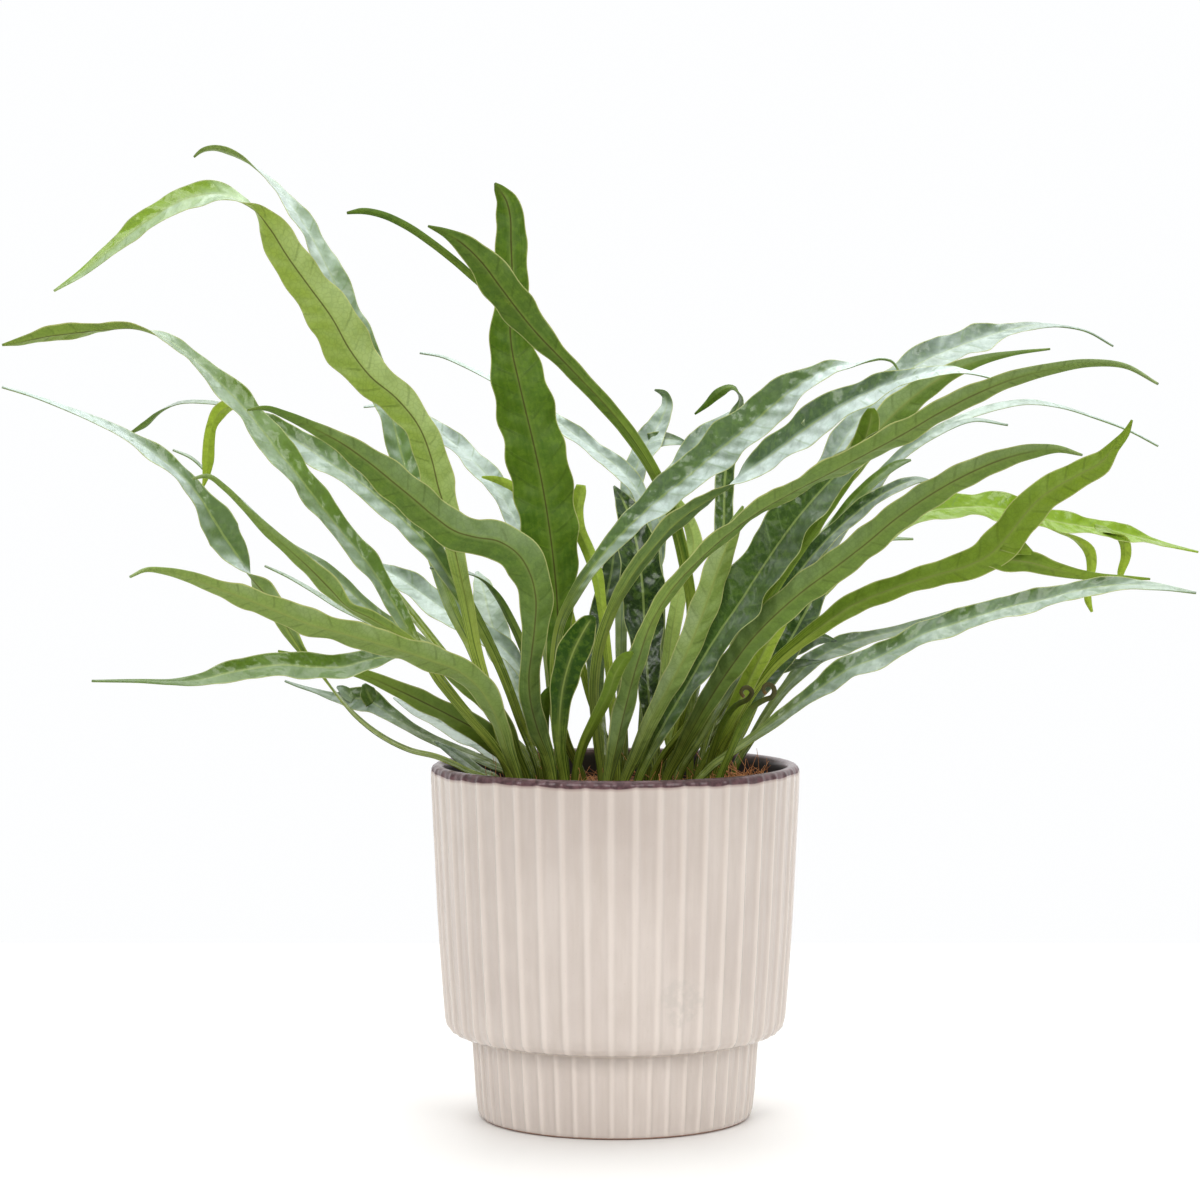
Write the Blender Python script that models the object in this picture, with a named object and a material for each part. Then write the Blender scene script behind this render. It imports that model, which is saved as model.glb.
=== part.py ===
# Potted aglaomorpha fern in a ribbed glazed pot.
# Metres, +Z up, the foot of the pot on z = 0 and its axis on the Z axis.
import math

import bmesh
import bpy
import numpy as np

MM = 0.001

# Pot, in millimetres
RIM_RADIUS = 70.0
POT_HEIGHT = 134.0
WALL = 5.5
FLOOR_TOP = 12.0
RIB_COUNT = 48
RIB_DEPTH = 0.9
RIB_PHASE_DEG = -91.5
POINTS_PER_RIB = 3

# Soil and stem holes, in millimetres
GAP = 0.3
SOIL_TOP = 124.0
HOLE_RADIUS = 2.5
HOLE_DEPTH = 12.0
HOLE_SIDES = 6
FOOT_SPACING = 5.6
FOOT_REACH = 56.0
SOIL_SIDES = 36

# Fronds, in millimetres
BLADE_THICKNESS = 0.9
STEM_WIDTH = 2.9
STEM_THICKNESS = 1.7
CLEARANCE = 1.9
SAMPLE_STEP = 2.5
CHANNEL = 0.09
WAVE_LENGTH = 27.0
WAVE_HEIGHT = 0.075
STATION_STEP = 19.0
STATION_TURN = 0.55
STATION_SWELL = 8.0
MAX_STATIONS = 19

# Camera of the photograph: focal length in its pixels, place in millimetres
FOCAL_PX = 3570.0
CAMERA_X = -5.7
CAMERA_Y = -1350.0
CAMERA_Z = 260.4
CAMERA_PITCH = math.radians(2.73)
PHOTO_MIDDLE = 600.0

UPPER_GREEN = (0.045, 0.115, 0.03)
UNDER_GREEN = (0.16, 0.25, 0.05)
YOUNG_GREEN = (0.27, 0.42, 0.04)

# Each frond: name, depth of its foot and tip (millimetres behind the pot's axis), then its midrib
# from foot to tip as (photo pixel x, photo pixel y, width in mm, facing in degrees).
# Facing 0 shows the upper side to the camera, 180 the underside, 90 has the upper side up.
LEFT_FRONDS = [
    ("frond_bright_arch", -20, -10, [
        (508, 782, 3.2, 180), (502, 745, 3.4, 180), (488, 692, 3.8, 180), (476, 650, 4.6, 180),
        (466, 600, 5.6, 180), (457, 560, 6.6, 180), (447, 515, 9.5, 175), (438, 485, 12.5, 170),
        (432, 460, 12.5, 175), (418, 425, 11.0, 180), (396, 398, 13.5, 180), (370, 376, 14.0, 180),
        (350, 350, 18.5, 180), (332, 318, 18.0, 180), (308, 285, 14.5, 180), (288, 257, 14.0, 175),
        (270, 228, 11.5, 160), (257, 211, 11.0, 115), (243, 202, 11.5, 75), (222, 195, 12.0, 50),
        (190, 198, 11.0, 40), (150, 219, 9.5, 35), (110, 250, 6.0, 35), (80, 274, 3.2, 35),
        (54, 291, 0.8, 35)]),
    ("frond_silver_arch", -6, 44, [
        (515, 782, 3.2, 20), (498, 720, 3.4, 20), (482, 675, 3.6, 20), (468, 642, 3.6, 20),
        (453, 612, 5.0, 20), (441, 580, 5.4, 25), (430, 548, 5.0, 30), (420, 515, 6.5, 25),
        (410, 485, 9.0, 20), (400, 450, 11.0, 20), (390, 412, 11.0, 25), (378, 382, 11.0, 30),
        (362, 345, 11.5, 35), (342, 300, 12.5, 40), (324, 262, 12.5, 45), (306, 228, 10.5, 50),
        (289, 203, 8.5, 55), (272, 183, 6.5, 65), (256, 168, 4.5, 85), (244, 159, 4.5, 110),
        (228, 151, 4.5, 125), (212, 148, 3.6, 125), (201, 151, 2.6, 125), (194, 157, 0.8, 125)]),
    ("frond_dark_long", -10, -52, [
        (511, 782, 3.2, 30), (492, 742, 3.4, 30), (462, 706, 3.4, 30), (436, 672, 3.6, 30),
        (414, 640, 5.0, 35), (398, 612, 8.5, 40), (382, 585, 9.5, 40), (366, 562, 10.5, 42),
        (342, 533, 11.0, 42), (316, 500, 11.5, 42), (298, 476, 13.0, 42), (278, 452, 14.0, 42),
        (260, 428, 14.0, 45), (240, 404, 13.0, 45), (220, 384, 11.5, 48), (202, 367, 10.5, 55),
        (182, 351, 9.5, 65), (160, 336, 8.5, 78), (135, 328, 7.5, 95), (105, 329, 8.5, 118),
        (75, 332, 9.0, 128), (45, 336, 8.0, 130), (22, 341, 5.0, 130), (2, 345, 0.8, 130)]),
    ("frond_far_left", -20, -78, [
        (498, 786, 3.0, 40), (466, 770, 2.4, 40), (438, 757, 2.4, 40), (410, 750, 2.4, 40),
        (380, 735, 2.4, 40), (355, 715, 2.4, 50), (335, 692, 2.6, 80), (318, 670, 2.8, 120),
        (303, 652, 3.2, 150), (290, 632, 5.8, 165), (274, 605, 8.0, 160), (260, 587, 8.5, 140),
        (246, 570, 8.5, 75), (235, 553, 11.0, 35), (223, 535, 14.5, 15), (213, 519, 13.0, 25),
        (201, 500, 9.0, 45), (183, 478, 9.5, 48), (155, 455, 9.0, 50), (125, 435, 7.0, 55),
        (95, 420, 4.5, 58), (60, 406, 2.6, 60), (30, 395, 1.6, 60), (2, 387, 0.8, 60)]),
    ("frond_side_sway", -34, -91, [
        (554, 784, 3.6, 178), (548, 757, 5.0, 176), (538, 730, 7.5, 174), (531, 703, 8.0, 172),
        (529, 678, 7.6, 172), (532, 652, 8.2, 172), (535, 625, 10.5, 174), (536, 600, 12.5, 176),
        (531, 576, 14.0, 176), (518, 554, 15.0, 176), (498, 541, 14.0, 176), (475, 537, 13.5, 176),
        (455, 531, 13.5, 176), (435, 517, 13.5, 176), (415, 500, 13.5, 176), (392, 481, 13.0, 174),
        (366, 460, 10.5, 172), (340, 442, 7.0, 168), (312, 427, 4.5, 160), (286, 415, 3.2, 150),
        (265, 408, 2.2, 140), (247, 410, 0.8, 140)]),
    ("frond_silver_band", 2, -29, [
        (538, 784, 3.2, 20), (520, 720, 3.6, 20), (497, 660, 4.0, 20), (472, 612, 5.0, 20),
        (448, 575, 7.0, 22), (428, 545, 9.0, 25), (405, 522, 11.0, 28), (383, 502, 11.0, 30),
        (358, 481, 11.0, 35), (332, 465, 12.5, 38), (308, 449, 12.5, 38), (285, 434, 10.0, 40),
        (268, 421, 7.0, 45), (252, 411, 0.8, 45)]),
    ("frond_far_curl", 12, 92, [
        (523, 784, 3.0, 40), (490, 716, 3.0, 40), (440, 650, 3.0, 40), (392, 592, 3.0, 45),
        (340, 528, 3.2, 50), (296, 474, 3.4, 55), (258, 424, 3.8, 65), (232, 407, 4.0, 72),
        (205, 402, 4.2, 70), (175, 404, 4.0, 75), (158, 413, 3.4, 110), (144, 425, 3.2, 140),
        (129, 434, 0.8, 140)]),
    ("frond_hanging_tip", 4, 21, [
        (530, 784, 3.0, 40), (484, 706, 3.0, 45), (430, 634, 3.0, 50), (380, 572, 3.0, 60),
        (318, 492, 3.0, 70), (262, 424, 4.0, 95), (238, 404, 6.0, 120), (222, 410, 7.5, 150),
        (212, 425, 4.0, 165), (209, 442, 4.5, 175), (208, 460, 4.8, 180), (206, 476, 2.8, 180),
        (203, 487, 0.8, 180)]),
    ("frond_thin_pair", -26, -75, [
        (518, 784, 3.2, 160), (498, 752, 3.4, 160), (468, 716, 3.4, 160), (440, 682, 3.4, 160),
        (415, 645, 3.4, 155), (392, 630, 5.0, 150), (368, 616, 6.5, 145), (348, 606, 5.5, 120),
        (330, 588, 8.5, 150), (308, 566, 7.0, 155), (288, 548, 4.8, 160), (268, 531, 4.2, 165),
        (246, 509, 2.4, 165), (225, 488, 2.2, 165), (207, 476, 1.8, 165), (192, 479, 0.8, 165)]),
    ("frond_thread_tip", -2, 29, [
        (535, 790, 3.0, 40), (480, 700, 3.0, 40), (420, 638, 3.4, 40), (372, 612, 6.0, 30),
        (346, 588, 6.5, 30), (322, 566, 5.5, 35), (292, 546, 3.0, 50), (262, 520, 2.0, 70),
        (234, 494, 1.8, 70), (210, 475, 1.8, 70), (190, 457, 2.0, 60), (173, 450, 0.8, 60)]),
    ("frond_low_olive", -38, -130, [
        (521, 786, 3.4, 150), (508, 750, 5.5, 150), (496, 715, 8.0, 150), (480, 688, 10.5, 150),
        (460, 671, 11.0, 148), (432, 660, 11.0, 145), (402, 650, 11.0, 145), (372, 641, 11.0, 145),
        (340, 632, 11.0, 145), (308, 623, 11.0, 148), (278, 611, 10.5, 150), (248, 599, 9.0, 150),
        (218, 588, 6.5, 150), (190, 577, 4.6, 150), (165, 571, 2.8, 150), (145, 570, 1.6, 150),
        (130, 577, 0.8, 150)]),
    ("frond_low_twist", -28, -109, [
        (528, 786, 3.4, 150), (515, 752, 5.5, 150), (500, 720, 8.0, 148), (478, 694, 9.5, 145),
        (452, 675, 9.0, 130), (425, 663, 8.0, 105), (398, 657, 8.0, 75), (370, 660, 9.0, 40),
        (342, 667, 10.0, 22), (312, 667, 10.0, 25), (280, 665, 10.0, 25), (250, 669, 9.0, 25),
        (224, 674, 8.0, 28), (200, 680, 5.5, 35), (172, 682, 2.6, 40), (140, 681, 1.6, 40),
        (92, 681, 0.8, 40)]),
    ("frond_low_thread", 20, 70, [
        (540, 796, 3.0, 40), (500, 726, 3.0, 40), (448, 672, 3.0, 40), (400, 640, 3.0, 45),
        (366, 620, 3.4, 50), (338, 606, 3.4, 55), (310, 589, 2.6, 60), (285, 575, 1.8, 60),
        (265, 566, 0.8, 60)]),
    ("frond_low_lobe", 14, 39, [
        (514, 784, 3.0, 40), (490, 764, 4.5, 40), (462, 752, 5.0, 40), (434, 740, 4.6, 42),
        (408, 726, 5.5, 38), (386, 712, 7.0, 30), (366, 700, 10.0, 15), (350, 698, 9.0, 15),
        (336, 697, 4.5, 35), (316, 691, 2.6, 50), (296, 685, 1.6, 50), (285, 681, 0.8, 50)]),
    ("frond_low_yellow", -18, -39, [
        (532, 788, 3.4, 160), (515, 765, 6.5, 160), (497, 745, 9.5, 158), (476, 729, 9.8, 158),
        (450, 715, 9.0, 158), (422, 701, 8.0, 158), (395, 688, 6.2, 158), (368, 676, 4.6, 155),
        (340, 667, 3.6, 150), (312, 659, 2.6, 150), (278, 651, 0.8, 150)]),
    ("frond_low_silver", 26, 84, [
        (522, 790, 3.0, 40), (506, 766, 5.0, 40), (484, 748, 7.5, 38), (460, 735, 7.5, 38),
        (438, 722, 6.5, 38), (415, 710, 5.0, 38), (394, 698, 0.8, 38)]),
    ("frond_rim_small", 2, 26, [
        (498, 788, 3.0, 30), (479, 772, 4.5, 30), (463, 760, 5.0, 30), (449, 750, 3.6, 30),
        (435, 742, 0.8, 30)]),
    ("frond_behind_upright", 22, 98, [
        (648, 790, 3.2, 35), (655, 720, 3.6, 35), (660, 640, 4.6, 35), (655, 560, 6.5, 38),
        (642, 500, 9.0, 42), (620, 470, 9.6, 44), (590, 447, 9.2, 45), (560, 424, 8.0, 46),
        (528, 400, 6.0, 50), (496, 381, 4.0, 55), (465, 366, 2.4, 60), (440, 356, 1.6, 60),
        (420, 353, 0.8, 60)]),
    ("frond_blue_back", 30, 112, [
        (560, 790, 3.2, 35), (552, 700, 3.8, 35), (545, 630, 5.5, 35), (532, 565, 8.5, 38),
        (515, 520, 10.5, 42), (495, 487, 11.5, 45), (470, 458, 11.5, 45), (445, 437, 10.0, 45),
        (420, 418, 7.5, 48), (392, 404, 4.5, 55), (364, 407, 0.8, 60)]),
    ("frond_mid_silver", 10, 48, [
        (545, 788, 3.2, 40), (538, 722, 4.0, 40), (522, 672, 6.5, 40), (500, 646, 9.5, 38),
        (470, 627, 11.5, 35), (440, 607, 13.0, 35), (412, 587, 12.0, 35), (388, 572, 7.5, 38),
        (368, 561, 0.8, 40)]),
    ("frond_pale_tongue", 34, 118, [
        (552, 796, 3.2, 15), (532, 726, 5.5, 15), (512, 676, 9.5, 12), (497, 640, 12.0, 10),
        (488, 610, 11.5, 10), (482, 585, 8.0, 10), (477, 572, 1.6, 10)]),
    ("frond_dark_elbow", 6, -8, [
        (546, 784, 3.2, 150), (538, 712, 3.4, 155), (526, 655, 3.6, 160), (512, 622, 3.4, 155),
        (496, 594, 3.4, 130), (480, 578, 3.6, 90), (462, 571, 3.8, 65), (447, 568, 2.8, 60),
        (430, 568, 0.8, 60)]),
]
MIDDLE_FRONDS = [
    ("frond_upright", 6, 26, [
        (566, 788, 3.4, 180), (560, 740, 5.5, 180), (558, 690, 7.5, 180), (558, 640, 9.5, 180),
        (557, 600, 12.5, 180), (554, 565, 18.5, 180), (550, 533, 22.0, 180), (545, 500, 22.5, 180),
        (539, 468, 23.8, 180), (532, 437, 22.5, 180), (525, 408, 22.5, 180), (518, 378, 20.5, 180),
        (512, 350, 17.5, 180), (510, 325, 14.8, 180), (512, 298, 12.5, 180), (512, 270, 12.2, 180),
        (511, 240, 12.2, 180), (510, 215, 11.0, 180), (506, 200, 8.2, 180), (499, 189, 4.4, 180),
        (495, 183, 0.8, 180)]),
    ("frond_fork_arch", -14, -60, [
        (668, 786, 3.4, 165), (684, 700, 3.6, 165), (691, 640, 3.8, 165), (691, 600, 4.0, 165),
        (685, 565, 4.6, 165), (677, 530, 4.8, 165), (667, 500, 4.8, 165), (653, 470, 4.6, 165),
        (634, 440, 5.2, 165), (610, 410, 6.0, 165), (582, 380, 6.2, 165), (556, 353, 7.6, 165),
        (536, 332, 10.5, 165), (518, 310, 13.8, 168), (500, 286, 14.0, 168), (480, 260, 11.0, 168),
        (462, 243, 7.2, 168), (446, 233, 3.4, 168), (428, 226, 0.8, 168)]),
    ("frond_young_strap", -2, 30, [
        (618, 788, 3.0, 170), (612, 700, 3.0, 170), (606, 640, 3.4, 170), (601, 600, 3.8, 170),
        (597, 575, 5.0, 170), (588, 550, 5.0, 170), (579, 528, 4.8, 175), (577, 508, 5.2, 180),
        (580, 492, 5.0, 180), (581, 485, 3.6, 180)]),
    ("frond_young_back", 40, 70, [
        (612, 796, 3.0, 170), (588, 690, 3.0, 170), (566, 600, 3.2, 170), (542, 530, 3.4, 170),
        (520, 492, 3.6, 170), (506, 483, 3.6, 170), (494, 479, 2.6, 170), (482, 477, 0.8, 170)]),
    ("frond_young_blade", -46, -66, [
        (566, 786, 3.0, 180), (560, 748, 4.4, 180), (560, 712, 7.0, 180), (564, 682, 10.0, 180),
        (572, 655, 12.0, 180), (582, 634, 10.5, 180), (590, 621, 6.0, 180), (594, 616, 1.4, 180)]),
    ("frond_young_left", -8, -20, [
        (548, 788, 3.0, 180), (543, 740, 4.6, 180), (543, 712, 5.2, 180), (546, 695, 4.0, 180),
        (550, 687, 1.0, 180)]),
    ("frond_young_right", -40, -64, [
        (574, 786, 3.0, 160), (582, 748, 3.6, 160), (596, 718, 4.4, 160), (608, 694, 5.0, 165),
        (616, 672, 5.6, 170), (626, 657, 4.4, 172), (633, 652, 1.0, 172)]),
    ("frond_round_back", 18, 42, [
        (655, 794, 3.4, 5), (652, 730, 6.0, 5), (648, 685, 8.5, 5), (646, 650, 12.0, 5),
        (644, 615, 16.0, 5), (642, 582, 17.5, 5), (638, 552, 15.5, 8), (632, 525, 12.0, 12),
        (624, 503, 8.0, 20), (614, 486, 0.8, 30)]),
    ("frond_left_shadow", 14, 58, [
        (606, 792, 3.4, 10), (600, 730, 5.0, 10), (596, 680, 6.5, 10), (597, 640, 8.0, 10),
        (604, 605, 9.5, 10), (611, 575, 9.0, 10), (614, 552, 5.5, 10), (615, 538, 0.8, 10)]),
    ("frond_pale_strand", 2, 62, [
        (678, 790, 3.4, 165), (670, 735, 5.0, 165), (667, 690, 5.5, 165), (670, 650, 6.0, 165),
        (676, 612, 6.0, 165), (684, 575, 6.0, 165), (694, 545, 7.0, 160), (688, 520, 5.5, 155),
        (676, 500, 3.5, 150), (664, 486, 0.8, 150)]),
    ("frond_fork_back", 48, 128, [
        (625, 796, 3.2, 20), (622, 700, 4.0, 20), (622, 600, 5.5, 22), (628, 520, 7.5, 25),
        (636, 470, 10.5, 28), (650, 440, 12.0, 28), (662, 418, 8.0, 28), (667, 403, 5.5, 30),
        (664, 394, 3.6, 35), (655, 390, 0.8, 35)]),
    ("frond_silver_blade", 54, 116, [
        (640, 798, 3.2, 25), (645, 700, 4.5, 25), (650, 600, 7.5, 28), (660, 525, 11.0, 30),
        (680, 475, 13.0, 32), (700, 442, 11.5, 35), (718, 424, 7.0, 38), (732, 411, 0.8, 40)]),
]
RIGHT_FRONDS = [
    ("frond_bubbled", -12, -73, [
        (584, 786, 3.4, 25), (566, 740, 3.6, 25), (556, 695, 3.8, 25), (555, 655, 4.0, 25),
        (561, 622, 4.2, 28), (576, 592, 5.2, 30), (600, 558, 6.5, 32), (627, 529, 9.5, 34),
        (655, 503, 13.5, 34), (688, 477, 15.0, 34), (720, 450, 17.5, 34), (752, 424, 17.5, 34),
        (780, 400, 15.5, 35), (808, 380, 11.0, 38), (832, 368, 7.0, 45), (852, 365, 3.4, 60),
        (868, 361, 3.0, 85), (884, 359, 1.6, 100), (893, 362, 1.4, 110), (899, 372, 0.8, 110)]),
    ("frond_twisted_fork", -24, -120, [
        (602, 786, 3.4, 145), (597, 735, 4.0, 145), (594, 690, 4.4, 145), (599, 648, 4.6, 145),
        (612, 610, 5.2, 145), (630, 577, 6.4, 145), (652, 548, 7.6, 142), (676, 522, 8.6, 138),
        (702, 503, 8.6, 128), (726, 489, 9.0, 95), (748, 472, 11.5, 55), (775, 453, 13.5, 42),
        (802, 432, 15.0, 38), (832, 412, 15.0, 38), (864, 395, 12.5, 42), (896, 382, 9.5, 48),
        (925, 374, 7.5, 55), (950, 371, 6.0, 65), (972, 373, 3.5, 75), (1003, 381, 0.8, 75)]),
    ("frond_folded_back", 24, 74, [
        (690, 792, 3.4, 10), (688, 730, 4.6, 10), (694, 680, 6.0, 10), (704, 640, 7.0, 10),
        (714, 600, 7.5, 10), (721, 560, 7.5, 10), (724, 520, 7.5, 10), (725, 480, 7.5, 12),
        (730, 445, 7.5, 15), (736, 415, 6.0, 25), (740, 397, 4.5, 70), (733, 388, 4.0, 120),
        (719, 393, 4.6, 155), (706, 405, 2.4, 165), (695, 414, 0.8, 165)]),
    ("frond_front_rise", -44, -166, [
        (606, 788, 3.6, 150), (616, 745, 7.0, 150), (626, 702, 8.8, 148), (637, 662, 8.4, 146),
        (651, 622, 6.8, 142), (672, 588, 7.0, 138), (698, 560, 8.0, 130), (728, 533, 9.5, 122),
        (760, 510, 10.5, 120), (795, 490, 11.0, 122), (832, 471, 11.0, 128), (868, 452, 10.5, 138),
        (902, 434, 9.5, 148), (938, 413, 8.5, 155), (975, 394, 7.6, 158), (1012, 379, 5.8, 160),
        (1050, 369, 4.2, 160), (1090, 363, 2.8, 160), (1125, 366, 1.8, 160), (1158, 384, 0.8, 160)]),
    ("frond_broad_dark", -34, -86, [
        (636, 790, 3.6, 35), (650, 752, 5.5, 35), (666, 722, 8.0, 35), (682, 695, 10.5, 36),
        (700, 664, 14.0, 38), (720, 632, 17.0, 38), (742, 600, 20.0, 38), (764, 566, 21.0, 38),
        (786, 534, 20.5, 38), (808, 506, 18.5, 38), (832, 480, 15.0, 38), (858, 458, 11.0, 38),
        (882, 438, 6.5, 38), (900, 424, 0.8, 38)]),
    ("frond_light_wing", -36, -58, [
        (622, 790, 3.6, 175), (637, 752, 5.0, 175), (652, 718, 6.0, 172), (668, 688, 7.5, 170),
        (684, 658, 9.0, 168), (697, 628, 10.0, 166), (708, 598, 10.5, 164), (718, 568, 10.0, 162),
        (728, 542, 7.5, 160), (737, 520, 4.2, 158), (743, 506, 0.8, 158)]),
    ("frond_long_olive", -22, -146, [
        (664, 788, 3.6, 170), (680, 752, 5.0, 170), (696, 722, 6.5, 170), (712, 695, 8.0, 170),
        (730, 668, 9.5, 170), (751, 640, 10.5, 170), (776, 614, 11.0, 170), (804, 590, 11.5, 170),
        (834, 568, 11.5, 170), (864, 545, 11.0, 170), (894, 520, 10.5, 170), (922, 500, 10.0, 170),
        (950, 483, 9.5, 170), (978, 469, 8.4, 170), (1006, 458, 7.0, 170), (1034, 451, 5.0, 168),
        (1058, 449, 2.6, 165), (1082, 455, 0.8, 165)]),
    ("frond_yellow_slip", -6, -23, [
        (696, 788, 3.2, 175), (716, 745, 4.0, 175), (732, 714, 5.5, 175), (746, 686, 6.6, 175),
        (760, 658, 7.4, 175), (774, 632, 6.6, 175), (787, 611, 4.2, 175), (797, 598, 0.8, 175)]),
    ("frond_top_silver", 30, 128, [
        (700, 794, 3.2, 35), (712, 720, 4.0, 35), (738, 640, 5.5, 35), (775, 560, 8.0, 36),
        (815, 490, 10.5, 38), (852, 430, 12.5, 38), (885, 392, 14.0, 38), (918, 365, 15.0, 38),
        (950, 350, 15.5, 40), (980, 339, 14.5, 42), (1006, 331, 9.0, 48), (1032, 326, 5.5, 55),
        (1060, 326, 2.0, 70), (1086, 331, 1.8, 80), (1113, 346, 0.8, 80)]),
    ("frond_olive_wing", 20, 49, [
        (714, 792, 3.2, 165), (730, 720, 3.8, 165), (762, 630, 5.0, 165), (800, 550, 7.0, 168),
        (838, 482, 9.5, 170), (872, 438, 11.5, 172), (900, 408, 12.0, 172), (928, 386, 9.5, 172),
        (955, 370, 6.5, 172), (985, 359, 3.8, 172), (1015, 353, 1.8, 172), (1050, 349, 0.8, 172)]),
    ("frond_faint_back", 56, 142, [
        (664, 798, 3.0, 40), (700, 720, 3.2, 40), (752, 630, 4.0, 42), (815, 545, 5.0, 45),
        (875, 480, 5.5, 48), (925, 438, 5.5, 50), (965, 417, 5.0, 52), (1000, 406, 5.0, 55),
        (1030, 402, 4.6, 60), (1062, 407, 3.2, 70), (1096, 418, 2.0, 80), (1130, 431, 1.4, 80),
        (1158, 446, 0.8, 80)]),
    ("frond_grey_back", 40, 36, [
        (680, 796, 3.0, 40), (722, 715, 3.6, 40), (775, 630, 5.0, 42), (825, 555, 6.5, 44),
        (868, 495, 7.0, 46), (905, 452, 6.5, 48), (938, 432, 5.0, 52), (972, 420, 2.8, 58),
        (1008, 425, 0.8, 62)]),
    ("frond_bright_fork", -2, -52, [
        (712, 788, 3.4, 175), (730, 735, 3.8, 175), (752, 692, 4.2, 175), (776, 662, 4.6, 172),
        (802, 640, 5.4, 170), (828, 621, 7.0, 168), (852, 605, 9.0, 166), (880, 593, 8.6, 166),
        (908, 583, 8.8, 166), (938, 574, 9.4, 168), (966, 566, 11.0, 170), (990, 554, 13.5, 174),
        (1007, 537, 13.5, 178), (1022, 518, 13.0, 180), (1038, 500, 12.5, 180), (1058, 486, 11.0, 180),
        (1080, 474, 10.5, 180), (1100, 463, 8.5, 180), (1114, 447, 4.4, 180), (1126, 433, 2.8, 180),
        (1132, 420, 0.8, 180)]),
    ("frond_bright_behind", 20, 88, [
        (722, 792, 3.2, 30), (742, 730, 3.6, 30), (775, 660, 4.2, 32), (815, 600, 5.5, 35),
        (855, 558, 7.5, 38), (893, 530, 9.5, 42), (925, 513, 11.0, 46), (958, 508, 14.0, 48),
        (992, 508, 16.0, 48), (1025, 515, 15.0, 48), (1055, 522, 12.0, 50), (1085, 527, 10.5, 50),
        (1115, 532, 11.0, 52), (1140, 538, 8.0, 58), (1168, 545, 3.4, 65), (1198, 552, 0.8, 65)]),
    ("frond_lowest", -30, -94, [
        (694, 790, 3.4, 45), (710, 768, 3.6, 45), (732, 752, 4.0, 45), (756, 735, 4.6, 45),
        (780, 718, 6.4, 44), (804, 700, 7.5, 42), (828, 683, 9.5, 40), (852, 668, 12.0, 40),
        (878, 658, 12.5, 42), (902, 646, 9.0, 45), (925, 634, 12.5, 42), (952, 625, 11.0, 42),
        (980, 616, 10.5, 42), (1010, 607, 11.0, 42), (1040, 601, 10.0, 44), (1070, 593, 9.5, 46),
        (1100, 587, 8.5, 48), (1130, 585, 6.5, 50), (1160, 587, 4.0, 55), (1196, 593, 0.8, 55)]),
    ("frond_low_back", 22, 52, [
        (730, 792, 3.2, 40), (752, 738, 3.6, 40), (784, 690, 5.0, 40), (815, 660, 9.0, 38),
        (845, 645, 9.5, 36), (872, 637, 6.0, 42), (898, 631, 6.0, 42), (928, 622, 5.0, 45),
        (955, 614, 5.0, 45), (985, 607, 0.8, 45)]),
    ("frond_dark_lobed", 4, 18, [
        (706, 790, 3.4, 15), (726, 740, 4.6, 15), (750, 700, 7.5, 15), (772, 668, 10.5, 14),
        (792, 637, 12.5, 14), (808, 608, 10.5, 14), (822, 583, 7.5, 18), (838, 560, 4.5, 25),
        (852, 542, 0.8, 30)]),
    ("frond_round_tip", -14, -62, [
        (652, 788, 3.2, 175), (694, 716, 3.2, 175), (742, 640, 3.4, 175), (790, 565, 3.6, 175),
        (828, 508, 4.0, 178), (850, 472, 5.5, 180), (861, 450, 8.2, 180), (868, 430, 8.6, 180),
        (871, 416, 6.5, 180), (871, 408, 2.4, 180)]),
    ("frond_green_tip", 46, 23, [
        (698, 796, 3.0, 40), (738, 700, 3.2, 40), (785, 610, 3.8, 40), (828, 535, 5.0, 40),
        (858, 495, 5.5, 40), (882, 474, 5.0, 40), (900, 463, 3.6, 40), (911, 460, 0.8, 40)]),
    ("frond_grey_cap", -4, -39, [
        (678, 786, 3.4, 35), (702, 735, 4.4, 35), (732, 680, 6.5, 36), (764, 622, 8.0, 38),
        (798, 574, 8.8, 40), (830, 537, 8.6, 42), (858, 512, 8.0, 44), (882, 495, 7.6, 45),
        (904, 484, 6.5, 50), (920, 480, 4.2, 60), (936, 483, 0.8, 65)]),
    ("frond_pale_finger", 40, 62, [
        (728, 796, 3.0, 40), (744, 730, 3.0, 40), (774, 660, 4.0, 40), (808, 600, 5.5, 42),
        (836, 565, 5.5, 45), (860, 546, 3.8, 50), (888, 539, 3.0, 60), (913, 539, 1.0, 60)]),
    ("frond_near_fern_curl", -44, -60, [
        (722, 784, 2.6, 175), (732, 748, 2.6, 175), (744, 722, 3.2, 175), (754, 706, 2.4, 175),
        (764, 700, 2.0, 175), (773, 696, 1.9, 175), (774, 688, 1.8, 175), (768, 684, 1.7, 175),
        (763, 689, 1.5, 175), (766, 694, 1.2, 175)]),
    ("frond_back_fern_curl", -16, -44, [
        (706, 780, 2.6, 175), (716, 742, 2.6, 175), (727, 716, 2.4, 175), (738, 704, 2.0, 175),
        (748, 699, 1.9, 175), (752, 692, 1.8, 175), (746, 687, 1.7, 175), (741, 692, 1.5, 175),
        (744, 697, 1.2, 175)]),
]
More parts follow.
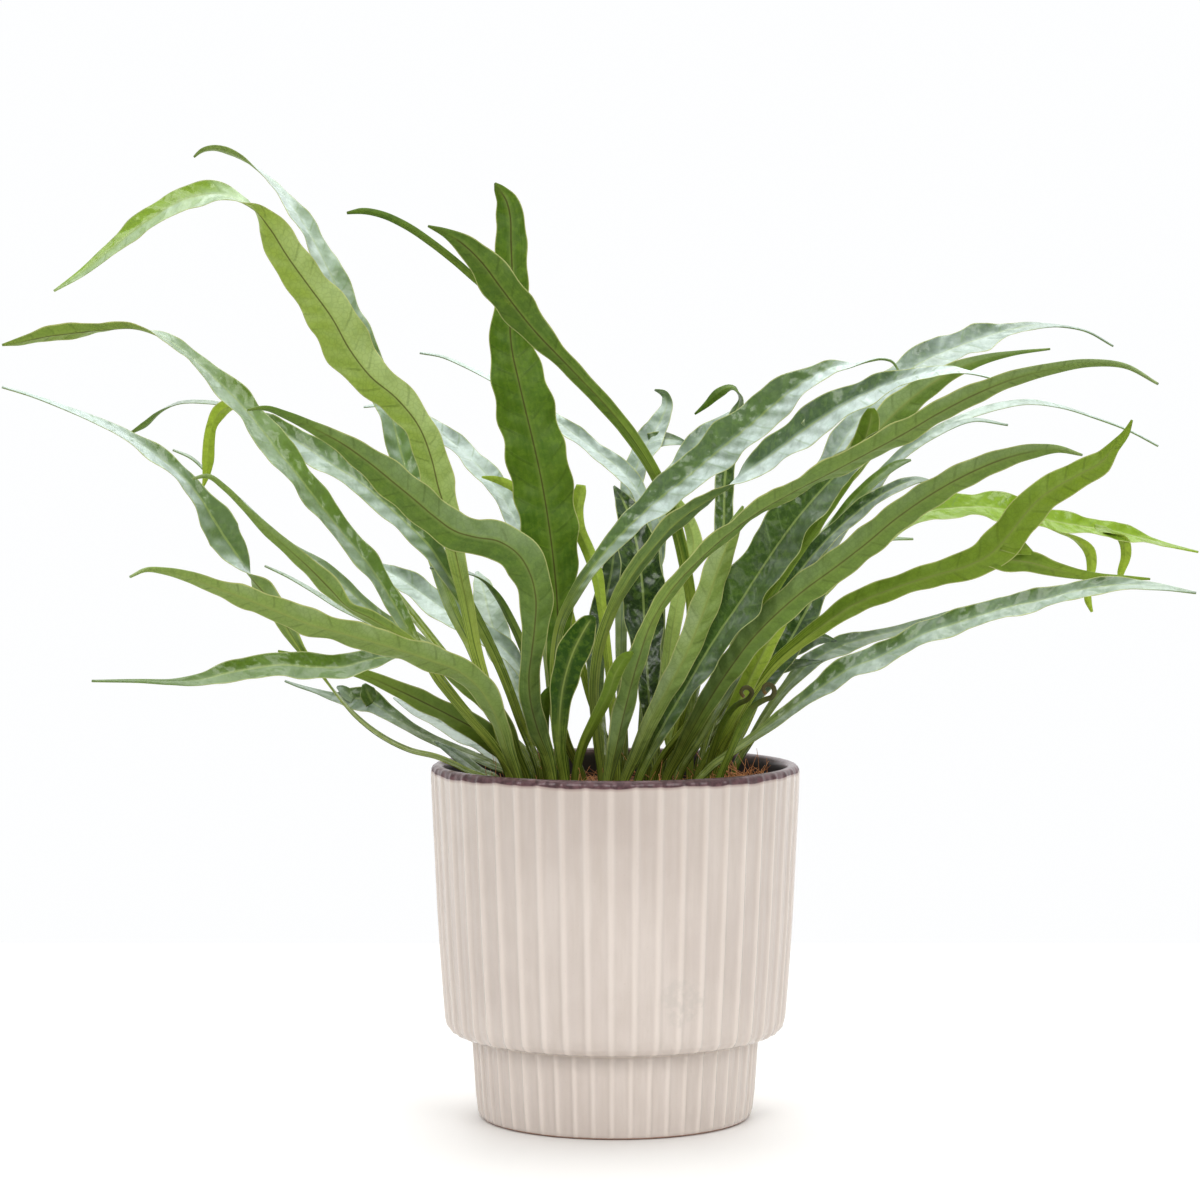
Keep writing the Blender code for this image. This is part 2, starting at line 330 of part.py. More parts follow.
# Side lobes: the frond that carries them, then the same kind of row from the midrib outwards.
# The first entry of each lobe is on the mother's midrib; depth follows the mother, plus a droop in mm.
LOBES = [
    ("frond_fork_arch", 6, [
        (512, 302, 3.0, 165), (495, 294, 3.2, 165), (478, 281, 2.8, 165), (455, 261, 2.8, 165),
        (432, 243, 2.8, 165), (405, 225, 2.8, 165), (380, 214, 2.6, 165), (362, 211, 2.4, 165), (347, 213, 1.0, 165)]),
    ("frond_bright_fork", 8, [
        (985, 557, 8.0, 170), (1008, 560, 10.0, 165), (1030, 563, 8.6, 165), (1052, 569, 6.0, 165),
        (1076, 574, 4.0, 165), (1100, 577, 2.8, 165), (1128, 578, 1.8, 165), (1150, 579, 0.8, 165)]),
    ("frond_twisted_fork", 2, [
        (806, 430, 6.0, 30), (824, 412, 7.5, 28), (842, 398, 7.5, 28), (858, 389, 4.0, 30), (868, 385, 1.0, 30)]),
    ("frond_bright_behind", -6, [
        (1040, 521, 6.0, 60), (1058, 533, 5.0, 80), (1078, 541, 4.5, 120), (1090, 552, 5.0, 160),
        (1092, 566, 4.0, 165), (1089, 582, 2.6, 165), (1088, 600, 3.0, 170), (1092, 612, 1.0, 170)]),
    ("frond_bright_behind", 5, [
        (1095, 529, 5.0, 50), (1112, 532, 5.0, 70), (1124, 541, 5.0, 150), (1126, 556, 4.2, 165),
        (1121, 572, 3.0, 165), (1119, 584, 0.8, 165)]),
    ("frond_low_lobe", 2, [
        (356, 699, 5.0, 15), (348, 694, 5.0, 15), (342, 689, 3.6, 20), (337, 687, 1.0, 20)]),
    ("frond_low_lobe", -2, [
        (372, 703, 6.0, 20), (367, 692, 7.0, 15), (364, 684, 1.6, 15)]),
    ("frond_dark_lobed", 6, [
        (780, 655, 6.0, 14), (800, 645, 6.5, 16), (820, 638, 5.0, 20), (836, 641, 1.0, 25)]),
    ("frond_dark_lobed", 5, [
        (768, 675, 5.0, 14), (786, 667, 5.0, 20), (804, 663, 3.4, 30), (822, 661, 0.8, 40)]),
    ("frond_fork_back", 4, [
        (648, 443, 7.0, 28), (664, 440, 7.0, 30), (678, 441, 4.0, 35), (690, 445, 0.8, 40)]),
    ("frond_bright_fork", 0, [
        (1004, 541, 6.0, 175), (1020, 547, 6.0, 175), (1032, 553, 1.6, 175)]),
]


def unit(rows):
    """Return each row divided by its length."""
    return rows / np.maximum(np.linalg.norm(rows, axis=-1, keepdims=True), 1e-9)


def seen_at(px, py, depth):
    """Place in mm of what the photograph shows at a pixel, at a depth behind the pot's axis."""
    right = (np.asarray(px) - PHOTO_MIDDLE) / FOCAL_PX
    up = (PHOTO_MIDDLE - np.asarray(py)) / FOCAL_PX
    along = math.cos(CAMERA_PITCH) + up * math.sin(CAMERA_PITCH)
    rise = up * math.cos(CAMERA_PITCH) - math.sin(CAMERA_PITCH)
    reach = (np.asarray(depth) - CAMERA_Y) / along
    return np.stack([CAMERA_X + reach * right, CAMERA_Y + reach * along, CAMERA_Z + reach * rise], axis=-1)


def view_rays(points):
    """Unit directions from the camera to the points."""
    return unit(points - np.array([CAMERA_X, CAMERA_Y, CAMERA_Z]))


def spread_feet(feet):
    """Push the stems' feet apart on the soil until each has room for its own hole."""
    feet = feet.copy()
    for _ in range(400):
        gap = feet[:, None, :] - feet[None, :, :]
        near = np.linalg.norm(gap, axis=2)
        np.fill_diagonal(near, 1e9)
        short = np.maximum(FOOT_SPACING - near, 0.0)
        feet += (0.35 * short[:, :, None] * gap / np.maximum(near, 1e-6)[:, :, None]).sum(axis=1)
        reach = np.linalg.norm(feet, axis=1)
        feet *= np.minimum(1.0, FOOT_REACH / np.maximum(reach, 1e-6))[:, None]
    return feet


def smooth_through(knots, rows, places):
    """Smooth curve through rows at the knots (Catmull-Rom with the knots' own spacing)."""
    slopes = np.gradient(rows, knots, axis=0)
    k = np.clip(np.searchsorted(knots, places) - 1, 0, len(knots) - 2)
    span = (knots[k + 1] - knots[k])[:, None]
    t = ((places - knots[k]) / span[:, 0])[:, None]
    start = rows[k] * (2 * t ** 3 - 3 * t ** 2 + 1) + slopes[k] * span * (t ** 3 - 2 * t ** 2 + t)
    end = rows[k + 1] * (3 * t ** 2 - 2 * t ** 3) + slopes[k + 1] * span * (t ** 3 - t ** 2)
    return start + end


def resample(points, traits, step):
    """Even stations along a smooth curve through the points; traits follow along."""
    knots = np.concatenate([[0.0], np.cumsum(np.linalg.norm(np.diff(points, axis=0), axis=1))])
    count = max(6, int(round(knots[-1] / step)) + 1)
    fine = np.linspace(0.0, knots[-1], 8 * count)
    curve = smooth_through(knots, points, fine)
    run = np.concatenate([[0.0], np.cumsum(np.linalg.norm(np.diff(curve, axis=0), axis=1))])
    stations = np.linspace(0.0, run[-1], count)
    places = np.interp(stations, run, fine)
    line = smooth_through(knots, points, places)
    kept = np.stack([np.interp(places, knots, traits[:, i]) for i in range(traits.shape[1])], axis=1)
    return line, kept


class Ribbon:
    """A frond or a lobe: stations along the midrib, with width, facing and thickness."""

    def __init__(self, name, line, width, facing, side, foot_length):
        self.name = name
        self.line = line
        self.width = width
        self.facing = np.radians(facing)
        self.side = side
        self.foot_length = foot_length
        self.phase = 2.4 * (sum(ord(c) for c in name) % 17)

    def run(self):
        steps = np.linalg.norm(np.diff(self.line, axis=0), axis=1)
        return np.concatenate([[0.0], np.cumsum(steps)])

    def frame(self):
        """Tangent, upper side's normal and the direction across, at each station."""
        tangent = unit(np.gradient(self.line, axis=0))
        toward = -view_rays(self.line)
        toward = unit(toward - tangent * (toward * tangent).sum(axis=1, keepdims=True))
        sideways = self.side * np.cross(tangent, toward)
        normal = np.cos(self.facing)[:, None] * toward + np.sin(self.facing)[:, None] * sideways
        return tangent, normal, np.cross(normal, tangent)

    def thickness(self):
        rise = np.clip((self.run() - self.foot_length) / 45.0, 0.0, 1.0)
        stem = np.where(self.foot_length > 0.0, STEM_THICKNESS, BLADE_THICKNESS)
        return stem + (BLADE_THICKNESS - stem) * rise

    def surface(self, across):
        """Mid-surface points for positions across from -1 to 1: channelled, with waved edges."""
        tangent, normal, sideways = self.frame()
        t = np.asarray(across)[None, :]
        width = self.width[:, None]
        turn = 2.0 * math.pi * self.run()[:, None] / WAVE_LENGTH + self.phase
        ripple = np.sin(turn + np.where(t > 0.0, 2.1, 0.0)) * WAVE_HEIGHT
        blade = np.clip((width - 4.0) / 4.0, 0.0, 1.0)
        lift = width * blade * (CHANNEL * np.abs(t) ** 1.5 + ripple * t ** 2)
        spread = 0.5 * width * t * (1.0 + 0.05 * blade * np.sin(1.7 * turn + 2.6 * np.sign(t)))
        points = self.line[:, None, :] + sideways[:, None, :] * spread[:, :, None]
        return points + normal[:, None, :] * lift[:, :, None]


def frond_ribbon(row, foot):
    """Turn a row of the table into a ribbon standing on its foot in the soil."""
    name, foot_depth, tip_depth, marks = row
    marks = np.array(marks, dtype=float)
    seen = marks[1:]
    lead = np.hypot(*np.diff(marks[:, :2], axis=0).T)
    share = np.cumsum(lead) / lead.sum()
    depth = foot[1] + (tip_depth - foot[1]) * share ** 1.35
    above = seen_at(seen[:, 0], seen[:, 1], depth)
    upright = [(foot[0], foot[1], SOIL_TOP + z) for z in (GAP - HOLE_DEPTH, -0.5 * HOLE_DEPTH, 0.0, 2.5)]
    points = np.vstack([upright, above])
    traits = np.vstack([np.repeat([[STEM_WIDTH, marks[0, 3]]], len(upright), axis=0), seen[:, 2:]])
    line, kept = resample(points, traits, SAMPLE_STEP)
    side = 1.0 if marks[-1, 0] < marks[0, 0] else -1.0
    return Ribbon(name, line, kept[:, 0], kept[:, 1], side, HOLE_DEPTH)


def meeting_pairs(clouds, owners, reach):
    """Index pairs of sample points of different fronds that the camera sees closer than reach."""
    cells = np.floor(clouds / reach).astype(np.int64)
    key = cells[:, 0] * 100003 + cells[:, 1]
    order = np.argsort(key, kind="stable")
    sorted_key = key[order]
    found = []
    for dx, dy in ((0, 0), (1, -1), (1, 0), (1, 1), (0, 1)):
        wanted = (cells[:, 0] + dx) * 100003 + cells[:, 1] + dy
        low = np.searchsorted(sorted_key, wanted, side="left")
        high = np.searchsorted(sorted_key, wanted, side="right")
        count = high - low
        first = np.repeat(np.arange(len(key)), count)
        offset = np.arange(count.sum()) - np.repeat(np.cumsum(count) - count, count)
        second = order[np.repeat(low, count) + offset]
        good = owners[first] != owners[second]
        if (dx, dy) == (0, 0):
            good &= first < second
        first = first[good]
        second = second[good]
        close = np.hypot(*(clouds[first] - clouds[second]).T) < reach
        found.append(np.stack([first[close], second[close]]))
    pairs = np.concatenate(found, axis=1)
    swap = owners[pairs[0]] > owners[pairs[1]]
    pairs[:, swap] = pairs[::-1, swap]
    return pairs


def side_signs(pairs, ahead, stations, owner_a, owner_b, anchored):
    """One front-or-behind sign for each stretch where two fronds meet, kept all along the stretch."""
    signs = np.ones(pairs.shape[1])
    key = owner_a * 1000 + owner_b
    for each in np.unique(key):
        rows = np.nonzero(key == each)[0]
        place = stations[pairs[0, rows]]
        order = np.argsort(place, kind="stable")
        rows = rows[order]
        breaks = np.nonzero(np.diff(place[order]) > 4)[0] + 1
        for group in np.split(rows, breaks):
            weight = 1.0 + 30.0 * anchored[group]
            signs[group] = 1.0 if (ahead[group] * weight).sum() >= 0.0 else -1.0
    return signs


def clear_fronds(ribbons, rounds=160):
    """Slide the fronds along the photograph's line of sight until each passes clear of the others.

    Their outlines in the photograph stay where they were; only their distance changes, smoothly."""
    across = np.linspace(-1.0, 1.0, 9)
    sizes = [len(r.line) for r in ribbons]
    starts = np.concatenate([[0], np.cumsum(sizes)])
    clouds = np.concatenate([r.surface(across).reshape(-1, 3) for r in ribbons])
    owner_of = np.repeat(np.arange(len(ribbons)), sizes)
    station_of = np.repeat(np.arange(starts[-1]), len(across))
    owners = owner_of[station_of]
    relative = clouds - np.array([CAMERA_X, CAMERA_Y, CAMERA_Z])
    flat = np.stack([relative[:, 0] / relative[:, 1], relative[:, 2] / relative[:, 1]], axis=1) * -CAMERA_Y
    distance = np.linalg.norm(relative, axis=1)
    height = np.concatenate([r.run() - r.foot_length for r in ribbons])
    free = np.clip(height / 22.0, 0.0, 1.0) ** 1.5
    lean = np.concatenate([np.abs((r.frame()[1] * view_rays(r.line)).sum(axis=1)) for r in ribbons])
    half = np.concatenate([r.thickness() for r in ribbons]) / np.maximum(lean, 0.35) / 2.0
    pairs = meeting_pairs(flat, owners, 2.2)
    first = station_of[pairs[0]]
    second = station_of[pairs[1]]
    ahead = distance[pairs[0]] - distance[pairs[1]]
    anchored = (free[first] + free[second] < 0.5).astype(float)
    signs = side_signs(pairs, ahead, station_of, owners[pairs[0]], owners[pairs[1]], anchored)
    wanted = half[first] + half[second] + CLEARANCE - BLADE_THICKNESS
    wanted = wanted * np.minimum(1.0, 0.25 + free[first] + free[second])
    shift = np.zeros(starts[-1])
    kernel = np.exp(-0.5 * (np.arange(-9, 10) / 3.2) ** 2)
    kernel /= kernel.sum()
    for _ in range(rounds):
        short = wanted - signs * (ahead + shift[first] - shift[second])
        bad = short > 0.0
        if not bad.any():
            break
        push = np.zeros_like(shift)
        pull = np.zeros_like(shift)
        up = bad & (signs > 0.0)
        down = bad & (signs < 0.0)
        np.maximum.at(push, first[up], short[up])
        np.maximum.at(pull, second[up], short[up])
        np.maximum.at(pull, first[down], short[down])
        np.maximum.at(push, second[down], short[down])
        move = 0.5 * (push - pull)
        for k in range(len(ribbons)):
            part = slice(starts[k], starts[k + 1])
            padded = np.concatenate([np.zeros(9), move[part], np.full(9, move[starts[k + 1] - 1])])
            move[part] = np.convolve(padded, kernel, mode="valid")
        shift += 1.1 * move * free
    for k, ribbon in enumerate(ribbons):
        part = shift[starts[k]:starts[k + 1], None]
        ribbon.line = ribbon.line + view_rays(ribbon.line) * part


def lobe_ribbon(mother, row):
    """A side lobe that springs from its mother's midrib and keeps near her depth."""
    name, droop, marks = row
    marks = np.array(marks, dtype=float)
    root = mother.line[np.argmin(pixel_gap(mother.line, marks[0, 0], marks[0, 1]))]
    share = np.linspace(0.0, 1.0, len(marks))
    depth = root[1] + droop * share
    points = seen_at(marks[:, 0], marks[:, 1], depth)
    points += (root - points[0]) * (1.0 - share[:, None]) ** 2
    line, kept = resample(points, marks[:, 2:], SAMPLE_STEP)
    return Ribbon(name, line, kept[:, 0], kept[:, 1], mother.side, 0.0)


def pixel_gap(points, px, py):
    """How far the points look from a pixel of the photograph, in units of the view."""
    mark = view_rays(seen_at(px, py, 0.0)[None, :])
    return np.linalg.norm(view_rays(points) - mark, axis=1)


def chosen_stations(ribbon):
    """Few stations, closer together where the midrib turns or the blade twists."""
    tangent, normal, _ = ribbon.frame()
    bend = np.linalg.norm(np.diff(tangent, axis=0), axis=1)
    twist = np.linalg.norm(np.diff(normal, axis=0), axis=1)
    swell = np.abs(np.diff(ribbon.width))
    cost = np.diff(ribbon.run()) / STATION_STEP + (bend + 0.6 * twist) / STATION_TURN + swell / STATION_SWELL
    total = np.concatenate([[0.0], np.cumsum(cost)])
    count = int(np.clip(round(total[-1]), 4, MAX_STATIONS))
    picked = np.searchsorted(total, np.linspace(0.0, total[-1], count + 1))
    if ribbon.foot_length > 0.0:
        above = ribbon.run()[picked] > ribbon.foot_length + 6.0
        collar = np.searchsorted(ribbon.run(), ribbon.foot_length + 1.0)
        picked = np.concatenate([[0, collar], picked[above]])
    return np.unique(np.clip(picked, 0, len(total) - 1))


def blade_mesh(name, ribbon):
    """Closed blade: three points across on each side, split into triangles alike on both sides."""
    picked = chosen_stations(ribbon)
    middle = ribbon.surface((-1.0, 0.0, 1.0))[picked]
    normal = ribbon.frame()[1][picked][:, None, :]
    half = 0.5 * ribbon.thickness()[picked][:, None, None]
    rings = np.concatenate([middle + normal * half, (middle - normal * half)[:, ::-1]], axis=1)
    count = len(picked)
    faces = []
    for near in range(0, 6 * (count - 1), 6):
        far = near + 6
        for a, b in ((0, 1), (2, 1), (2, 3), (3, 4), (5, 4), (5, 0)):
            faces += [(near + a, near + b, far + b), (near + a, far + b, far + a)]
    faces += [(1, 0, 5), (1, 5, 4), (2, 1, 4), (2, 4, 3)]
    last = 6 * (count - 1)
    faces += [(last, last + 1, last + 5), (last + 1, last + 4, last + 5)]
    faces += [(last + 1, last + 2, last + 4), (last + 2, last + 3, last + 4)]
    mesh = bpy.data.meshes.new(name)
    mesh.from_pydata((rings.reshape(-1, 3) * MM).tolist(), [], faces)
    mesh.validate()
    tidy = bmesh.new()
    tidy.from_mesh(mesh)
    bmesh.ops.recalc_face_normals(tidy, faces=tidy.faces)
    tidy.to_mesh(mesh)
    tidy.free()
    return mesh


def collection_named(name, hidden=False):
    made = bpy.data.collections.new(name)
    bpy.context.scene.collection.children.link(made)
    made.hide_render = hidden
    return made


def object_in(collection, name, mesh, material=None):
    made = bpy.data.objects.new(name, mesh)
    if material:
        mesh.materials.append(material)
    collection.objects.link(made)
    return made


def apply_boolean(target, cutters, operation, solver="EXACT"):
    """Apply one boolean with a collection of operands, then remove them."""
    modifier = target.modifiers.new(operation.lower(), "BOOLEAN")
    modifier.operation = operation
    modifier.solver = solver
    modifier.operand_type = "COLLECTION"
    modifier.collection = cutters
    graph = bpy.context.evaluated_depsgraph_get()
    made = bpy.data.meshes.new_from_object(target.evaluated_get(graph), depsgraph=graph)
    target.modifiers.remove(modifier)
    made.name = target.name
    target.data = made
    for item in list(cutters.objects):
        bpy.data.objects.remove(item)
    bpy.data.collections.remove(cutters)


def plain_material(name, colour, roughness):
    made = bpy.data.materials.new(name)
    made.use_nodes = True
    shader = made.node_tree.nodes["Principled BSDF"]
    shader.inputs["Base Color"].default_value = (*colour, 1.0)
    shader.inputs["Roughness"].default_value = roughness
    shader.inputs["Metallic"].default_value = 0.0
    return made


def frond_object(plant, ribbon, lobes, material):
    made = object_in(plant, ribbon.name, blade_mesh(ribbon.name, ribbon), material)
    if lobes:
        extra = collection_named(ribbon.name + "_lobes")
        for k, lobe in enumerate(lobes):
            object_in(extra, "%s_lobe_%d" % (ribbon.name, k), blade_mesh("lobe", lobe))
        apply_boolean(made, extra, "UNION")
    return made


def ribbed_ring(radius, depth):
    """Points of a level ring whose flutes sink between narrow ribs."""
    count = RIB_COUNT * POINTS_PER_RIB
    angle = np.radians(RIB_PHASE_DEG) + np.arange(count) * 2.0 * math.pi / count
    sunk = np.where(np.arange(count) % POINTS_PER_RIB == 0, 0.0, depth)
    return np.stack([(radius - sunk) * np.cos(angle), (radius - sunk) * np.sin(angle)], axis=1)


def pot_object(plant, material):
    """Ribbed drum on a stepped foot, open at the top, lofted because its flutes fade in and out."""
    outside = ((50.3, 0.0, 0.0), (52.2, 2.2, 0.6), (54.4, 31.2, 0.6), (61.2, 32.2, 0.5),
               (64.8, 36.5, RIB_DEPTH), (67.6, 78.0, RIB_DEPTH), (RIM_RADIUS, 131.4, RIB_DEPTH),
               (68.6, POT_HEIGHT, 0.4))
    inside = ((RIM_RADIUS - WALL + 0.6, POT_HEIGHT, 0.0), (RIM_RADIUS - WALL, 131.8, 0.0), (60.4, 44.0, 0.0),
              (48.5, 33.0, 0.0), (47.0, FLOOR_TOP, 0.0))
    rings = [(ribbed_ring(radius, depth), z) for radius, z, depth in outside + inside]
    count = RIB_COUNT * POINTS_PER_RIB
    points = [(x * MM, y * MM, z * MM) for ring, z in rings for x, y in ring]
    faces = []
    for low in range(0, (len(rings) - 1) * count, count):
        high = low + count
        for i in range(count):
            j = (i + 1) % count
            faces.append((low + i, low + j, high + j, high + i))
    faces.append(tuple(range(count - 1, -1, -1)))
    faces.append(tuple(range((len(rings) - 1) * count, len(rings) * count)))
    mesh = bpy.data.meshes.new("pot")
    mesh.from_pydata(points, [], faces)
    return object_in(plant, "pot", mesh, material)


def inner_radius(z):
    """Radius of the pot's inside at a height, on the flat between its rings."""
    return np.interp(z, (FLOOR_TOP, 33.0, 44.0, 131.8), (47.0, 48.5, 60.4, RIM_RADIUS - WALL))


def soil_object(plant, feet, material):
    """Coir mix that fills the pot, with a plain hole for each stem."""
    heights = (FLOOR_TOP + GAP, 33.4, 44.4, SOIL_TOP)
    radii = [inner_radius(z) - side_gap for z, side_gap in zip(heights, (0.3, 0.7, 0.7, 0.4))]
    angle = np.arange(SOIL_SIDES) * 2.0 * math.pi / SOIL_SIDES
    points = []
    for radius, z in zip(radii, heights):
        points += [(radius * math.cos(a) * MM, radius * math.sin(a) * MM, z * MM) for a in angle]
    faces = [tuple(range(SOIL_SIDES - 1, -1, -1)), tuple(range(3 * SOIL_SIDES, 4 * SOIL_SIDES))]
    for k in range(3):
        low = k * SOIL_SIDES
        high = low + SOIL_SIDES
        for i in range(SOIL_SIDES):
            j = (i + 1) % SOIL_SIDES
            faces.append((low + i, low + j, high + j, high + i))
    mesh = bpy.data.meshes.new("soil")
    mesh.from_pydata(points, [], faces)
    made = object_in(plant, "soil", mesh, material)
    cutters = collection_named("soil_cutters", hidden=True)
    for k, (x, y) in enumerate(feet):
        place = (x * MM, y * MM, SOIL_TOP * MM)
        bpy.ops.mesh.primitive_cylinder_add(
            vertices=HOLE_SIDES, radius=HOLE_RADIUS * MM, depth=2.0 * HOLE_DEPTH * MM, location=place)
        hole = bpy.context.object
        hole.name = "hole_%d" % k
        hole.display_type = "WIRE"
        for old in list(hole.users_collection):
            old.objects.unlink(hole)
        cutters.objects.link(hole)
    apply_boolean(made, cutters, "DIFFERENCE")
    return made


def frond_shade(row, materials):
    """Material by what the photograph shows of a frond: young, underside or upper side."""
    name, _, _, marks = row
    if "young" in name or "hanging" in name or "yellow_slip" in name:
        return materials["young"]
    facing = sorted(mark[3] for mark in marks)[len(marks) // 2]
    return materials["under"] if facing > 90 else materials["upper"]


def main():
    for old in list(bpy.data.objects):
        bpy.data.objects.remove(old)
    plant = collection_named("potted_aglaomorpha")
    glaze = plain_material("glazed_ceramic", (0.67, 0.61, 0.54), 0.25)
    coir = plain_material("coir", (0.12, 0.06, 0.03), 0.95)
    materials = {
        "upper": plain_material("frond_upper", UPPER_GREEN, 0.35),
        "under": plain_material("frond_under", UNDER_GREEN, 0.6),
        "young": plain_material("frond_young", YOUNG_GREEN, 0.45),
    }
    rows = LEFT_FRONDS + MIDDLE_FRONDS + RIGHT_FRONDS
    starts = np.array([(seen_at(row[3][0][0], row[3][0][1], row[1])[0], row[1]) for row in rows])
    feet = spread_feet(starts)
    ribbons = [frond_ribbon(row, foot) for row, foot in zip(rows, feet)]
    clear_fronds(ribbons)
    pot_object(plant, glaze)
    soil_object(plant, feet, coir)
    for row, ribbon in zip(rows, ribbons):
        lobes = [lobe_ribbon(ribbon, lobe) for lobe in LOBES if lobe[0] == ribbon.name]
        frond_object(plant, ribbon, lobes, frond_shade(row, materials))


main()
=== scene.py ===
# Looks of the potted aglaomorpha fern: fine fronds, glazed ribbed pot, coir, light and camera.
# Metres, +Z up, in the same frame as the solids.
import math

import bpy
import numpy as np
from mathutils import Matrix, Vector


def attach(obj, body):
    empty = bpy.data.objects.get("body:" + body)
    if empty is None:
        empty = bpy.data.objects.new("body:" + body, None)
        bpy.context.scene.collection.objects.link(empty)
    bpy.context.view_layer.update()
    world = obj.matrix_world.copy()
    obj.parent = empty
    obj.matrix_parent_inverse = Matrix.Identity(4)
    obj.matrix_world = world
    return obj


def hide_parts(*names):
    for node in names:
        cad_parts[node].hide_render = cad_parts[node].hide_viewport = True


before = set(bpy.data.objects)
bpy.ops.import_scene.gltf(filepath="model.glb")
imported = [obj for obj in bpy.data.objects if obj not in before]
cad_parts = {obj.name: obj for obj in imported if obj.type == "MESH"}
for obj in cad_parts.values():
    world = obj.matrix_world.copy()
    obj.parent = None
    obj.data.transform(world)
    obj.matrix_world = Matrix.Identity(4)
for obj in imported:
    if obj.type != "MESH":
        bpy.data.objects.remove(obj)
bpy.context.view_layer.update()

MM = 0.001

# Pot, in millimetres; its profile's rows give radius, height and depth of the flutes
POT_HEIGHT = 134.0
POT_OUTSIDE = (
    (50.2, 0.02, 0.0), (50.9, 0.25, 0.0), (51.7, 0.9, 0.25), (52.3, 2.4, 0.8), (53.2, 10.0, 1.0),
    (54.0, 22.0, 1.0), (54.5, 29.5, 1.0), (55.0, 31.4, 0.7), (57.5, 31.9, 0.5), (60.4, 32.3, 0.6),
    (62.6, 33.3, 0.9), (64.1, 35.2, 1.1), (64.8, 38.0, 1.1), (65.6, 48.0, 1.1), (66.7, 63.0, 1.1),
    (67.7, 80.0, 1.1), (68.7, 101.0, 1.1), (69.6, 120.0, 1.1), (69.95, 128.5, 1.0), (69.98, 130.6, 0.9),
    (69.75, 132.1, 0.7), (69.2, 133.2, 0.45), (68.3, 133.8, 0.25), (67.2, 133.95, 0.1))
POT_INSIDE = (
    (66.0, 133.8, 0.0), (65.2, 133.2, 0.0), (64.75, 132.0, 0.0), (64.6, 130.0, 0.0), (64.2, 122.0, 0.0),
    (62.6, 90.0, 0.0), (60.6, 45.0, 0.0), (55.0, 37.0, 0.0), (48.8, 33.0, 0.0), (47.3, 14.0, 0.0),
    (46.0, 12.1, 0.0), (20.0, 12.05, 0.0), (2.0, 12.02, 0.0))
POT_FLOOR = 12.02
POT_UNDERSIDE = 0.02
PROFILE_STEP = 3.0
BAND_WIDTH = 1.1
RIB_COUNT = 48
RIB_PHASE_DEG = -91.5
POINTS_PER_RIB = 12

# Soil and stem holes, in millimetres
GAP = 0.3
SOIL_TOP = 124.0
HOLE_DEPTH = 12.0
FOOT_SPACING = 5.6
FOOT_REACH = 56.0
BED_RADIUS = 63.4
BED_DEPTH = 9.0
BED_BUMPS = (14.0, 7.0, 3.6, 2.1)
BED_RINGS = 60
BED_SPOKES = 150
LYING_FIBRES = 620
LYING_RADIUS = 0.17
LYING_REACH = 62.5
STANDING_FIBRES = 110
HEAPED_FIBRES = 150
STANDING_RADIUS = 0.22
STANDING_REACH = 61.0
COIR_HEAP = (50.0, -4.0)
FIBRE_STEPS = 7
FIBRE_SIDES = 4

# Fronds, in millimetres
BLADE_THICKNESS = 0.9
STEM_WIDTH = 2.9
STEM_THICKNESS = 1.7
CLEARANCE = 1.9
SAMPLE_STEP = 2.5
CHANNEL = 0.09
WAVE_LENGTH = 27.0
WAVE_HEIGHT = 0.075
FINE_STEP = 1.1
FINE_ACROSS = 17
LEAF_SKIN = 0.42
VEIN_SPACING = 8.6
QUILT_LIMIT = 0.3
PEBBLES_FROM = 0.5
PEBBLE_GAIN = 3.2
CRINKLE_DEPTH = 0.09
CRINKLE_LENGTH = 8.5
PEBBLE_LENGTH = 6.4
PEBBLE_WIDTH = 5.6
VEIN_SLANT = 0.40
VEIN_STAGGER = 0.21
SHEEN_FOLD = 0.3
RIB_ABOVE = 0.10
RIB_BELOW = 0.42
RIB_HALF_WIDTH = 0.75

# Camera of the photograph: focal length in its pixels, place in millimetres
FOCAL_PX = 3570.0
PHOTO_SIZE_PX = 1200.0
SENSOR_MM = 36.0
CAMERA_X = -5.7
CAMERA_Y = -1350.0
CAMERA_Z = 260.4
CAMERA_PITCH = math.radians(2.73)
PHOTO_MIDDLE = 600.0

# Studio: table in millimetres
TABLE_WIDTH = 3600.0
TABLE_DEPTH = 900.0
TABLE_COLUMNS = 25
TABLE_ROWS = 13
SKY_COLOUR = (0.99, 0.995, 1.0, 1.0)
VIEW_GAMMA = 0.93

# Sky's strength: axis of the direction (1 to the back, 2 up), then from where to where and from what to what
SKY_SHARES = ((1, (-0.3, 0.7, 0.06, 1.25)), (2, (0.15, 0.9, 0.0, 0.45)))

# Lamps: name, watts, size, place and aim in metres
LAMPS = (
    ("lamp_left", 18.0, (1.1, 1.1), (-0.95, -1.65, 1.15), (0.0, 0.0, 0.12)),
    ("lamp_right", 15.8, (1.0, 1.1), (1.05, -1.55, 1.0), (0.0, 0.0, 0.12)),
    ("lamp_top", 15.0, (1.8, 1.4), (0.1, 0.2, 1.7), (0.0, 0.0, 0.1)),
)

